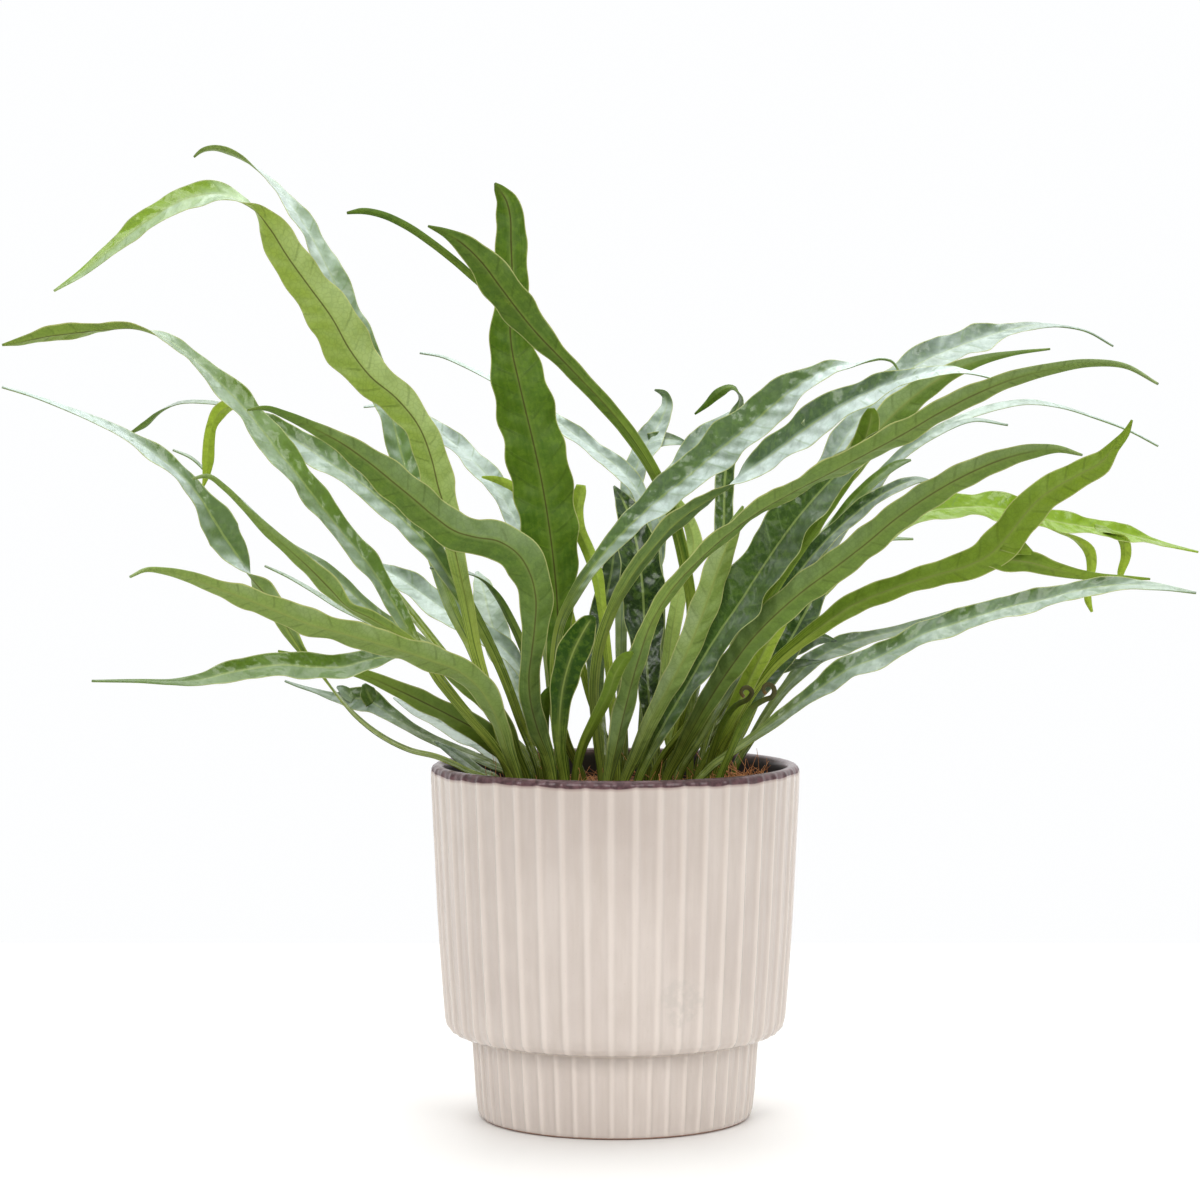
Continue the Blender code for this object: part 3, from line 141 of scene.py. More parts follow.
# Colours, in sRGB from 0 to 255; pairs are the two ends of a blend
UPPER_GREENS = ((34, 74, 2), (66, 104, 10))
UPPER_YOUTH_AND_BACKLIGHT = (150, 184, 44)
UPPER_DEEP = (16, 38, 8)
UPPER_FLECK = (124, 158, 50)
UPPER_NET = (128, 152, 96)
UPPER_VEIN = (120, 148, 84)
UPPER_RIB = (164, 182, 106)
UPPER_MARGIN = (184, 194, 130)
# Silver of the waxy coat and of the painted sky sheen laid over it
SILVER = (206, 222, 215)
UNDER_GREENS = ((54, 98, 0), (84, 118, 6))
UNDER_YOUTH_AND_BACKLIGHT = (168, 192, 62)
UNDER_STREAK = (142, 168, 72)
UNDER_DEEP = (34, 68, 4)
UNDER_FLECK = (124, 156, 42)
# Grey-green of the underside's painted sheen
UNDER_SHEEN = (172, 184, 152)
UNDER_NET = (66, 92, 30)
UNDER_VEIN = (56, 72, 20)
UNDER_BESIDE_RIB = (150, 166, 88)
RIB_TONES = ((146, 160, 84), (70, 58, 26))
UNDER_MARGIN = (186, 190, 122)
STALK_GREENS = ((74, 98, 4), (184, 198, 80))
# Painted shade at the stalks' feet
FOOT_SHADE_GREEN = (34, 50, 10)
SPOT_BROWN = (104, 80, 44)
WITHERED_BROWN = (80, 74, 42)
TIP_BROWN = (120, 92, 52)
GLAZE_TONES = ((201, 189, 181), (211, 200, 192))
GLAZE_STREAK = (194, 182, 172)
GLAZE_CREST = (232, 221, 212)
GLAZE_SPECK = (166, 148, 132)
GLAZE_SMUDGE = (182, 176, 168)
GLAZE_SHOULDER = (176, 160, 146)
GLAZE_THIN = (158, 128, 122)
RIM_TONES = ((70, 44, 48), (106, 74, 78))
POT_INNER = (42, 34, 38)
BARE_CLAY = (150, 104, 76)
BED_TONES = ((64, 40, 26), (136, 92, 60))
FIBRE_TONES = ((150, 92, 56), (236, 172, 116))

# Table's two whites, linear with alpha
TABLE_TONES = ((0.85, 0.84, 0.825, 1.0), (0.87, 0.86, 0.845, 1.0))

# Noise by scale, detail and roughness, and the smudge on the pot's front in metres
GRAIN_NOISE = (500.0, 2.0, 0.5)
SOFT_BUMP_NOISE = (230.0, 1.2, 0.4)
SMUDGE_PLACE = (0.0245, -0.0605, 0.0520)

# Each frond: name, depth of its foot and tip (millimetres behind the pot's axis), then its midrib
# from foot to tip as (photo pixel x, photo pixel y, width in mm, facing in degrees).
# Facing 0 shows the upper side to the camera, 180 the underside, 90 has the upper side up.
LEFT_FRONDS = [
    ("frond_bright_arch", -20, -10, [
        (508, 782, 3.2, 180), (502, 745, 3.4, 180), (488, 692, 3.8, 180), (476, 650, 4.6, 180),
        (466, 600, 5.6, 180), (457, 560, 6.6, 180), (447, 515, 9.5, 175), (438, 485, 12.5, 170),
        (432, 460, 12.5, 175), (418, 425, 11.0, 180), (396, 398, 13.5, 180), (370, 376, 14.0, 180),
        (350, 350, 18.5, 180), (332, 318, 18.0, 180), (308, 285, 14.5, 180), (288, 257, 14.0, 175),
        (270, 228, 11.5, 160), (257, 211, 11.0, 115), (243, 202, 11.5, 75), (222, 195, 12.0, 50),
        (190, 198, 11.0, 40), (150, 219, 9.5, 35), (110, 250, 6.0, 35), (80, 274, 3.2, 35),
        (54, 291, 0.8, 35)]),
    ("frond_silver_arch", -6, 44, [
        (515, 782, 3.2, 20), (498, 720, 3.4, 20), (482, 675, 3.6, 20), (468, 642, 3.6, 20),
        (453, 612, 5.0, 20), (441, 580, 5.4, 25), (430, 548, 5.0, 30), (420, 515, 6.5, 25),
        (410, 485, 9.0, 20), (400, 450, 11.0, 20), (390, 412, 11.0, 25), (378, 382, 11.0, 30),
        (362, 345, 11.5, 35), (342, 300, 12.5, 40), (324, 262, 12.5, 45), (306, 228, 10.5, 50),
        (289, 203, 8.5, 55), (272, 183, 6.5, 65), (256, 168, 4.5, 85), (244, 159, 4.5, 110),
        (228, 151, 4.5, 125), (212, 148, 3.6, 125), (201, 151, 2.6, 125), (194, 157, 0.8, 125)]),
    ("frond_dark_long", -10, -52, [
        (511, 782, 3.2, 30), (492, 742, 3.4, 30), (462, 706, 3.4, 30), (436, 672, 3.6, 30),
        (414, 640, 5.0, 35), (398, 612, 8.5, 40), (382, 585, 9.5, 40), (366, 562, 10.5, 42),
        (342, 533, 11.0, 42), (316, 500, 11.5, 42), (298, 476, 13.0, 42), (278, 452, 14.0, 42),
        (260, 428, 14.0, 45), (240, 404, 13.0, 45), (220, 384, 11.5, 48), (202, 367, 10.5, 55),
        (182, 351, 9.5, 65), (160, 336, 8.5, 78), (135, 328, 7.5, 95), (105, 329, 8.5, 118),
        (75, 332, 9.0, 128), (45, 336, 8.0, 130), (22, 341, 5.0, 130), (2, 345, 0.8, 130)]),
    ("frond_far_left", -20, -78, [
        (498, 786, 3.0, 40), (466, 770, 2.4, 40), (438, 757, 2.4, 40), (410, 750, 2.4, 40),
        (380, 735, 2.4, 40), (355, 715, 2.4, 50), (335, 692, 2.6, 80), (318, 670, 2.8, 120),
        (303, 652, 3.2, 150), (290, 632, 5.8, 165), (274, 605, 8.0, 160), (260, 587, 8.5, 140),
        (246, 570, 8.5, 75), (235, 553, 11.0, 35), (223, 535, 14.5, 15), (213, 519, 13.0, 25),
        (201, 500, 9.0, 45), (183, 478, 9.5, 48), (155, 455, 9.0, 50), (125, 435, 7.0, 55),
        (95, 420, 4.5, 58), (60, 406, 2.6, 60), (30, 395, 1.6, 60), (2, 387, 0.8, 60)]),
    ("frond_side_sway", -34, -91, [
        (554, 784, 3.6, 178), (548, 757, 5.0, 176), (538, 730, 7.5, 174), (531, 703, 8.0, 172),
        (529, 678, 7.6, 172), (532, 652, 8.2, 172), (535, 625, 10.5, 174), (536, 600, 12.5, 176),
        (531, 576, 14.0, 176), (518, 554, 15.0, 176), (498, 541, 14.0, 176), (475, 537, 13.5, 176),
        (455, 531, 13.5, 176), (435, 517, 13.5, 176), (415, 500, 13.5, 176), (392, 481, 13.0, 174),
        (366, 460, 10.5, 172), (340, 442, 7.0, 168), (312, 427, 4.5, 160), (286, 415, 3.2, 150),
        (265, 408, 2.2, 140), (247, 410, 0.8, 140)]),
    ("frond_silver_band", 2, -29, [
        (538, 784, 3.2, 20), (520, 720, 3.6, 20), (497, 660, 4.0, 20), (472, 612, 5.0, 20),
        (448, 575, 7.0, 22), (428, 545, 9.0, 25), (405, 522, 11.0, 28), (383, 502, 11.0, 30),
        (358, 481, 11.0, 35), (332, 465, 12.5, 38), (308, 449, 12.5, 38), (285, 434, 10.0, 40),
        (268, 421, 7.0, 45), (252, 411, 0.8, 45)]),
    ("frond_far_curl", 12, 92, [
        (523, 784, 3.0, 40), (490, 716, 3.0, 40), (440, 650, 3.0, 40), (392, 592, 3.0, 45),
        (340, 528, 3.2, 50), (296, 474, 3.4, 55), (258, 424, 3.8, 65), (232, 407, 4.0, 72),
        (205, 402, 4.2, 70), (175, 404, 4.0, 75), (158, 413, 3.4, 110), (144, 425, 3.2, 140),
        (129, 434, 0.8, 140)]),
    ("frond_hanging_tip", 4, 21, [
        (530, 784, 3.0, 40), (484, 706, 3.0, 45), (430, 634, 3.0, 50), (380, 572, 3.0, 60),
        (318, 492, 3.0, 70), (262, 424, 4.0, 95), (238, 404, 6.0, 120), (222, 410, 7.5, 150),
        (212, 425, 4.0, 165), (209, 442, 4.5, 175), (208, 460, 4.8, 180), (206, 476, 2.8, 180),
        (203, 487, 0.8, 180)]),
    ("frond_thin_pair", -26, -75, [
        (518, 784, 3.2, 160), (498, 752, 3.4, 160), (468, 716, 3.4, 160), (440, 682, 3.4, 160),
        (415, 645, 3.4, 155), (392, 630, 5.0, 150), (368, 616, 6.5, 145), (348, 606, 5.5, 120),
        (330, 588, 8.5, 150), (308, 566, 7.0, 155), (288, 548, 4.8, 160), (268, 531, 4.2, 165),
        (246, 509, 2.4, 165), (225, 488, 2.2, 165), (207, 476, 1.8, 165), (192, 479, 0.8, 165)]),
    ("frond_thread_tip", -2, 29, [
        (535, 790, 3.0, 40), (480, 700, 3.0, 40), (420, 638, 3.4, 40), (372, 612, 6.0, 30),
        (346, 588, 6.5, 30), (322, 566, 5.5, 35), (292, 546, 3.0, 50), (262, 520, 2.0, 70),
        (234, 494, 1.8, 70), (210, 475, 1.8, 70), (190, 457, 2.0, 60), (173, 450, 0.8, 60)]),
    ("frond_low_olive", -38, -130, [
        (521, 786, 3.4, 150), (508, 750, 5.5, 150), (496, 715, 8.0, 150), (480, 688, 10.5, 150),
        (460, 671, 11.0, 148), (432, 660, 11.0, 145), (402, 650, 11.0, 145), (372, 641, 11.0, 145),
        (340, 632, 11.0, 145), (308, 623, 11.0, 148), (278, 611, 10.5, 150), (248, 599, 9.0, 150),
        (218, 588, 6.5, 150), (190, 577, 4.6, 150), (165, 571, 2.8, 150), (145, 570, 1.6, 150),
        (130, 577, 0.8, 150)]),
    ("frond_low_twist", -28, -109, [
        (528, 786, 3.4, 150), (515, 752, 5.5, 150), (500, 720, 8.0, 148), (478, 694, 9.5, 145),
        (452, 675, 9.0, 130), (425, 663, 8.0, 105), (398, 657, 8.0, 75), (370, 660, 9.0, 40),
        (342, 667, 10.0, 22), (312, 667, 10.0, 25), (280, 665, 10.0, 25), (250, 669, 9.0, 25),
        (224, 674, 8.0, 28), (200, 680, 5.5, 35), (172, 682, 2.6, 40), (140, 681, 1.6, 40),
        (92, 681, 0.8, 40)]),
    ("frond_low_thread", 20, 70, [
        (540, 796, 3.0, 40), (500, 726, 3.0, 40), (448, 672, 3.0, 40), (400, 640, 3.0, 45),
        (366, 620, 3.4, 50), (338, 606, 3.4, 55), (310, 589, 2.6, 60), (285, 575, 1.8, 60),
        (265, 566, 0.8, 60)]),
    ("frond_low_lobe", 14, 39, [
        (514, 784, 3.0, 40), (490, 764, 4.5, 40), (462, 752, 5.0, 40), (434, 740, 4.6, 42),
        (408, 726, 5.5, 38), (386, 712, 7.0, 30), (366, 700, 10.0, 15), (350, 698, 9.0, 15),
        (336, 697, 4.5, 35), (316, 691, 2.6, 50), (296, 685, 1.6, 50), (285, 681, 0.8, 50)]),
    ("frond_low_yellow", -18, -39, [
        (532, 788, 3.4, 160), (515, 765, 6.5, 160), (497, 745, 9.5, 158), (476, 729, 9.8, 158),
        (450, 715, 9.0, 158), (422, 701, 8.0, 158), (395, 688, 6.2, 158), (368, 676, 4.6, 155),
        (340, 667, 3.6, 150), (312, 659, 2.6, 150), (278, 651, 0.8, 150)]),
    ("frond_low_silver", 26, 84, [
        (522, 790, 3.0, 40), (506, 766, 5.0, 40), (484, 748, 7.5, 38), (460, 735, 7.5, 38),
        (438, 722, 6.5, 38), (415, 710, 5.0, 38), (394, 698, 0.8, 38)]),
    ("frond_rim_small", 2, 26, [
        (498, 788, 3.0, 30), (479, 772, 4.5, 30), (463, 760, 5.0, 30), (449, 750, 3.6, 30),
        (435, 742, 0.8, 30)]),
    ("frond_behind_upright", 22, 98, [
        (648, 790, 3.2, 35), (655, 720, 3.6, 35), (660, 640, 4.6, 35), (655, 560, 6.5, 38),
        (642, 500, 9.0, 42), (620, 470, 9.6, 44), (590, 447, 9.2, 45), (560, 424, 8.0, 46),
        (528, 400, 6.0, 50), (496, 381, 4.0, 55), (465, 366, 2.4, 60), (440, 356, 1.6, 60),
        (420, 353, 0.8, 60)]),
    ("frond_blue_back", 30, 112, [
        (560, 790, 3.2, 35), (552, 700, 3.8, 35), (545, 630, 5.5, 35), (532, 565, 8.5, 38),
        (515, 520, 10.5, 42), (495, 487, 11.5, 45), (470, 458, 11.5, 45), (445, 437, 10.0, 45),
        (420, 418, 7.5, 48), (392, 404, 4.5, 55), (364, 407, 0.8, 60)]),
    ("frond_mid_silver", 10, 48, [
        (545, 788, 3.2, 40), (538, 722, 4.0, 40), (522, 672, 6.5, 40), (500, 646, 9.5, 38),
        (470, 627, 11.5, 35), (440, 607, 13.0, 35), (412, 587, 12.0, 35), (388, 572, 7.5, 38),
        (368, 561, 0.8, 40)]),
    ("frond_pale_tongue", 34, 118, [
        (552, 796, 3.2, 15), (532, 726, 5.5, 15), (512, 676, 9.5, 12), (497, 640, 12.0, 10),
        (488, 610, 11.5, 10), (482, 585, 8.0, 10), (477, 572, 1.6, 10)]),
    ("frond_dark_elbow", 6, -8, [
        (546, 784, 3.2, 150), (538, 712, 3.4, 155), (526, 655, 3.6, 160), (512, 622, 3.4, 155),
        (496, 594, 3.4, 130), (480, 578, 3.6, 90), (462, 571, 3.8, 65), (447, 568, 2.8, 60),
        (430, 568, 0.8, 60)]),
]

MIDDLE_FRONDS = [
    ("frond_upright", 6, 26, [
        (566, 788, 3.4, 180), (560, 740, 5.5, 180), (558, 690, 7.5, 180), (558, 640, 9.5, 180),
        (557, 600, 12.5, 180), (554, 565, 18.5, 180), (550, 533, 22.0, 180), (545, 500, 22.5, 180),
        (539, 468, 23.8, 180), (532, 437, 22.5, 180), (525, 408, 22.5, 180), (518, 378, 20.5, 180),
        (512, 350, 17.5, 180), (510, 325, 14.8, 180), (512, 298, 12.5, 180), (512, 270, 12.2, 180),
        (511, 240, 12.2, 180), (510, 215, 11.0, 180), (506, 200, 8.2, 180), (499, 189, 4.4, 180),
        (495, 183, 0.8, 180)]),
    ("frond_fork_arch", -14, -60, [
        (668, 786, 3.4, 165), (684, 700, 3.6, 165), (691, 640, 3.8, 165), (691, 600, 4.0, 165),
        (685, 565, 4.6, 165), (677, 530, 4.8, 165), (667, 500, 4.8, 165), (653, 470, 4.6, 165),
        (634, 440, 5.2, 165), (610, 410, 6.0, 165), (582, 380, 6.2, 165), (556, 353, 7.6, 165),
        (536, 332, 10.5, 165), (518, 310, 13.8, 168), (500, 286, 14.0, 168), (480, 260, 11.0, 168),
        (462, 243, 7.2, 168), (446, 233, 3.4, 168), (428, 226, 0.8, 168)]),
    ("frond_young_strap", -2, 30, [
        (618, 788, 3.0, 170), (612, 700, 3.0, 170), (606, 640, 3.4, 170), (601, 600, 3.8, 170),
        (597, 575, 5.0, 170), (588, 550, 5.0, 170), (579, 528, 4.8, 175), (577, 508, 5.2, 180),
        (580, 492, 5.0, 180), (581, 485, 3.6, 180)]),
    ("frond_young_back", 40, 70, [
        (612, 796, 3.0, 170), (588, 690, 3.0, 170), (566, 600, 3.2, 170), (542, 530, 3.4, 170),
        (520, 492, 3.6, 170), (506, 483, 3.6, 170), (494, 479, 2.6, 170), (482, 477, 0.8, 170)]),
    ("frond_young_blade", -46, -66, [
        (566, 786, 3.0, 180), (560, 748, 4.4, 180), (560, 712, 7.0, 180), (564, 682, 10.0, 180),
        (572, 655, 12.0, 180), (582, 634, 10.5, 180), (590, 621, 6.0, 180), (594, 616, 1.4, 180)]),
    ("frond_young_left", -8, -20, [
        (548, 788, 3.0, 180), (543, 740, 4.6, 180), (543, 712, 5.2, 180), (546, 695, 4.0, 180),
        (550, 687, 1.0, 180)]),
    ("frond_young_right", -40, -64, [
        (574, 786, 3.0, 160), (582, 748, 3.6, 160), (596, 718, 4.4, 160), (608, 694, 5.0, 165),
        (616, 672, 5.6, 170), (626, 657, 4.4, 172), (633, 652, 1.0, 172)]),
    ("frond_round_back", 18, 42, [
        (655, 794, 3.4, 5), (652, 730, 6.0, 5), (648, 685, 8.5, 5), (646, 650, 12.0, 5),
        (644, 615, 16.0, 5), (642, 582, 17.5, 5), (638, 552, 15.5, 8), (632, 525, 12.0, 12),
        (624, 503, 8.0, 20), (614, 486, 0.8, 30)]),
    ("frond_left_shadow", 14, 58, [
        (606, 792, 3.4, 10), (600, 730, 5.0, 10), (596, 680, 6.5, 10), (597, 640, 8.0, 10),
        (604, 605, 9.5, 10), (611, 575, 9.0, 10), (614, 552, 5.5, 10), (615, 538, 0.8, 10)]),
    ("frond_pale_strand", 2, 62, [
        (678, 790, 3.4, 165), (670, 735, 5.0, 165), (667, 690, 5.5, 165), (670, 650, 6.0, 165),
        (676, 612, 6.0, 165), (684, 575, 6.0, 165), (694, 545, 7.0, 160), (688, 520, 5.5, 155),
        (676, 500, 3.5, 150), (664, 486, 0.8, 150)]),
    ("frond_fork_back", 48, 128, [
        (625, 796, 3.2, 20), (622, 700, 4.0, 20), (622, 600, 5.5, 22), (628, 520, 7.5, 25),
        (636, 470, 10.5, 28), (650, 440, 12.0, 28), (662, 418, 8.0, 28), (667, 403, 5.5, 30),
        (664, 394, 3.6, 35), (655, 390, 0.8, 35)]),
    ("frond_silver_blade", 54, 116, [
        (640, 798, 3.2, 25), (645, 700, 4.5, 25), (650, 600, 7.5, 28), (660, 525, 11.0, 30),
        (680, 475, 13.0, 32), (700, 442, 11.5, 35), (718, 424, 7.0, 38), (732, 411, 0.8, 40)]),
]

RIGHT_FRONDS = [
    ("frond_bubbled", -12, -73, [
        (584, 786, 3.4, 25), (566, 740, 3.6, 25), (556, 695, 3.8, 25), (555, 655, 4.0, 25),
        (561, 622, 4.2, 28), (576, 592, 5.2, 30), (600, 558, 6.5, 32), (627, 529, 9.5, 34),
        (655, 503, 13.5, 34), (688, 477, 15.0, 34), (720, 450, 17.5, 34), (752, 424, 17.5, 34),
        (780, 400, 15.5, 35), (808, 380, 11.0, 38), (832, 368, 7.0, 45), (852, 365, 3.4, 60),
        (868, 361, 3.0, 85), (884, 359, 1.6, 100), (893, 362, 1.4, 110), (899, 372, 0.8, 110)]),
    ("frond_twisted_fork", -24, -120, [
        (602, 786, 3.4, 145), (597, 735, 4.0, 145), (594, 690, 4.4, 145), (599, 648, 4.6, 145),
        (612, 610, 5.2, 145), (630, 577, 6.4, 145), (652, 548, 7.6, 142), (676, 522, 8.6, 138),
        (702, 503, 8.6, 128), (726, 489, 9.0, 95), (748, 472, 11.5, 55), (775, 453, 13.5, 42),
        (802, 432, 15.0, 38), (832, 412, 15.0, 38), (864, 395, 12.5, 42), (896, 382, 9.5, 48),
        (925, 374, 7.5, 55), (950, 371, 6.0, 65), (972, 373, 3.5, 75), (1003, 381, 0.8, 75)]),
    ("frond_folded_back", 24, 74, [
        (690, 792, 3.4, 10), (688, 730, 4.6, 10), (694, 680, 6.0, 10), (704, 640, 7.0, 10),
        (714, 600, 7.5, 10), (721, 560, 7.5, 10), (724, 520, 7.5, 10), (725, 480, 7.5, 12),
        (730, 445, 7.5, 15), (736, 415, 6.0, 25), (740, 397, 4.5, 70), (733, 388, 4.0, 120),
        (719, 393, 4.6, 155), (706, 405, 2.4, 165), (695, 414, 0.8, 165)]),
    ("frond_front_rise", -44, -166, [
        (606, 788, 3.6, 150), (616, 745, 7.0, 150), (626, 702, 8.8, 148), (637, 662, 8.4, 146),
        (651, 622, 6.8, 142), (672, 588, 7.0, 138), (698, 560, 8.0, 130), (728, 533, 9.5, 122),
        (760, 510, 10.5, 120), (795, 490, 11.0, 122), (832, 471, 11.0, 128), (868, 452, 10.5, 138),
        (902, 434, 9.5, 148), (938, 413, 8.5, 155), (975, 394, 7.6, 158), (1012, 379, 5.8, 160),
        (1050, 369, 4.2, 160), (1090, 363, 2.8, 160), (1125, 366, 1.8, 160), (1158, 384, 0.8, 160)]),
    ("frond_broad_dark", -34, -86, [
        (636, 790, 3.6, 35), (650, 752, 5.5, 35), (666, 722, 8.0, 35), (682, 695, 10.5, 36),
        (700, 664, 14.0, 38), (720, 632, 17.0, 38), (742, 600, 20.0, 38), (764, 566, 21.0, 38),
        (786, 534, 20.5, 38), (808, 506, 18.5, 38), (832, 480, 15.0, 38), (858, 458, 11.0, 38),
        (882, 438, 6.5, 38), (900, 424, 0.8, 38)]),
    ("frond_light_wing", -36, -58, [
        (622, 790, 3.6, 175), (637, 752, 5.0, 175), (652, 718, 6.0, 172), (668, 688, 7.5, 170),
        (684, 658, 9.0, 168), (697, 628, 10.0, 166), (708, 598, 10.5, 164), (718, 568, 10.0, 162),
        (728, 542, 7.5, 160), (737, 520, 4.2, 158), (743, 506, 0.8, 158)]),
    ("frond_long_olive", -22, -146, [
        (664, 788, 3.6, 170), (680, 752, 5.0, 170), (696, 722, 6.5, 170), (712, 695, 8.0, 170),
        (730, 668, 9.5, 170), (751, 640, 10.5, 170), (776, 614, 11.0, 170), (804, 590, 11.5, 170),
        (834, 568, 11.5, 170), (864, 545, 11.0, 170), (894, 520, 10.5, 170), (922, 500, 10.0, 170),
        (950, 483, 9.5, 170), (978, 469, 8.4, 170), (1006, 458, 7.0, 170), (1034, 451, 5.0, 168),
        (1058, 449, 2.6, 165), (1082, 455, 0.8, 165)]),
    ("frond_yellow_slip", -6, -23, [
        (696, 788, 3.2, 175), (716, 745, 4.0, 175), (732, 714, 5.5, 175), (746, 686, 6.6, 175),
        (760, 658, 7.4, 175), (774, 632, 6.6, 175), (787, 611, 4.2, 175), (797, 598, 0.8, 175)]),
    ("frond_top_silver", 30, 128, [
        (700, 794, 3.2, 35), (712, 720, 4.0, 35), (738, 640, 5.5, 35), (775, 560, 8.0, 36),
        (815, 490, 10.5, 38), (852, 430, 12.5, 38), (885, 392, 14.0, 38), (918, 365, 15.0, 38),
        (950, 350, 15.5, 40), (980, 339, 14.5, 42), (1006, 331, 9.0, 48), (1032, 326, 5.5, 55),
        (1060, 326, 2.0, 70), (1086, 331, 1.8, 80), (1113, 346, 0.8, 80)]),
    ("frond_olive_wing", 20, 49, [
        (714, 792, 3.2, 165), (730, 720, 3.8, 165), (762, 630, 5.0, 165), (800, 550, 7.0, 168),
        (838, 482, 9.5, 170), (872, 438, 11.5, 172), (900, 408, 12.0, 172), (928, 386, 9.5, 172),
        (955, 370, 6.5, 172), (985, 359, 3.8, 172), (1015, 353, 1.8, 172), (1050, 349, 0.8, 172)]),
    ("frond_faint_back", 56, 142, [
        (664, 798, 3.0, 40), (700, 720, 3.2, 40), (752, 630, 4.0, 42), (815, 545, 5.0, 45),
        (875, 480, 5.5, 48), (925, 438, 5.5, 50), (965, 417, 5.0, 52), (1000, 406, 5.0, 55),
        (1030, 402, 4.6, 60), (1062, 407, 3.2, 70), (1096, 418, 2.0, 80), (1130, 431, 1.4, 80),
        (1158, 446, 0.8, 80)]),
    ("frond_grey_back", 40, 36, [
        (680, 796, 3.0, 40), (722, 715, 3.6, 40), (775, 630, 5.0, 42), (825, 555, 6.5, 44),
        (868, 495, 7.0, 46), (905, 452, 6.5, 48), (938, 432, 5.0, 52), (972, 420, 2.8, 58),
        (1008, 425, 0.8, 62)]),
    ("frond_bright_fork", -2, -52, [
        (712, 788, 3.4, 175), (730, 735, 3.8, 175), (752, 692, 4.2, 175), (776, 662, 4.6, 172),
        (802, 640, 5.4, 170), (828, 621, 7.0, 168), (852, 605, 9.0, 166), (880, 593, 8.6, 166),
        (908, 583, 8.8, 166), (938, 574, 9.4, 168), (966, 566, 11.0, 170), (990, 554, 13.5, 174),
        (1007, 537, 13.5, 178), (1022, 518, 13.0, 180), (1038, 500, 12.5, 180), (1058, 486, 11.0, 180),
        (1080, 474, 10.5, 180), (1100, 463, 8.5, 180), (1114, 447, 4.4, 180), (1126, 433, 2.8, 180),
        (1132, 420, 0.8, 180)]),
    ("frond_bright_behind", 20, 88, [
        (722, 792, 3.2, 30), (742, 730, 3.6, 30), (775, 660, 4.2, 32), (815, 600, 5.5, 35),
        (855, 558, 7.5, 38), (893, 530, 9.5, 42), (925, 513, 11.0, 46), (958, 508, 14.0, 48),
        (992, 508, 16.0, 48), (1025, 515, 15.0, 48), (1055, 522, 12.0, 50), (1085, 527, 10.5, 50),
        (1115, 532, 11.0, 52), (1140, 538, 8.0, 58), (1168, 545, 3.4, 65), (1198, 552, 0.8, 65)]),
    ("frond_lowest", -30, -94, [
        (694, 790, 3.4, 45), (710, 768, 3.6, 45), (732, 752, 4.0, 45), (756, 735, 4.6, 45),
        (780, 718, 6.4, 44), (804, 700, 7.5, 42), (828, 683, 9.5, 40), (852, 668, 12.0, 40),
        (878, 658, 12.5, 42), (902, 646, 9.0, 45), (925, 634, 12.5, 42), (952, 625, 11.0, 42),
        (980, 616, 10.5, 42), (1010, 607, 11.0, 42), (1040, 601, 10.0, 44), (1070, 593, 9.5, 46),
        (1100, 587, 8.5, 48), (1130, 585, 6.5, 50), (1160, 587, 4.0, 55), (1196, 593, 0.8, 55)]),
    ("frond_low_back", 22, 52, [
        (730, 792, 3.2, 40), (752, 738, 3.6, 40), (784, 690, 5.0, 40), (815, 660, 9.0, 38),
        (845, 645, 9.5, 36), (872, 637, 6.0, 42), (898, 631, 6.0, 42), (928, 622, 5.0, 45),
        (955, 614, 5.0, 45), (985, 607, 0.8, 45)]),
    ("frond_dark_lobed", 4, 18, [
        (706, 790, 3.4, 15), (726, 740, 4.6, 15), (750, 700, 7.5, 15), (772, 668, 10.5, 14),
        (792, 637, 12.5, 14), (808, 608, 10.5, 14), (822, 583, 7.5, 18), (838, 560, 4.5, 25),
        (852, 542, 0.8, 30)]),
    ("frond_round_tip", -14, -62, [
        (652, 788, 3.2, 175), (694, 716, 3.2, 175), (742, 640, 3.4, 175), (790, 565, 3.6, 175),
        (828, 508, 4.0, 178), (850, 472, 5.5, 180), (861, 450, 8.2, 180), (868, 430, 8.6, 180),
        (871, 416, 6.5, 180), (871, 408, 2.4, 180)]),
    ("frond_green_tip", 46, 23, [
        (698, 796, 3.0, 40), (738, 700, 3.2, 40), (785, 610, 3.8, 40), (828, 535, 5.0, 40),
        (858, 495, 5.5, 40), (882, 474, 5.0, 40), (900, 463, 3.6, 40), (911, 460, 0.8, 40)]),
    ("frond_grey_cap", -4, -39, [
        (678, 786, 3.4, 35), (702, 735, 4.4, 35), (732, 680, 6.5, 36), (764, 622, 8.0, 38),
        (798, 574, 8.8, 40), (830, 537, 8.6, 42), (858, 512, 8.0, 44), (882, 495, 7.6, 45),
        (904, 484, 6.5, 50), (920, 480, 4.2, 60), (936, 483, 0.8, 65)]),
    ("frond_pale_finger", 40, 62, [
        (728, 796, 3.0, 40), (744, 730, 3.0, 40), (774, 660, 4.0, 40), (808, 600, 5.5, 42),
        (836, 565, 5.5, 45), (860, 546, 3.8, 50), (888, 539, 3.0, 60), (913, 539, 1.0, 60)]),
    ("frond_near_fern_curl", -44, -60, [
        (722, 784, 2.6, 175), (732, 748, 2.6, 175), (744, 722, 3.2, 175), (754, 706, 2.4, 175),
        (764, 700, 2.0, 175), (773, 696, 1.9, 175), (774, 688, 1.8, 175), (768, 684, 1.7, 175),
        (763, 689, 1.5, 175), (766, 694, 1.2, 175)]),
    ("frond_back_fern_curl", -16, -44, [
        (706, 780, 2.6, 175), (716, 742, 2.6, 175), (727, 716, 2.4, 175), (738, 704, 2.0, 175),
        (748, 699, 1.9, 175), (752, 692, 1.8, 175), (746, 687, 1.7, 175), (741, 692, 1.5, 175),
        (744, 697, 1.2, 175)]),
]

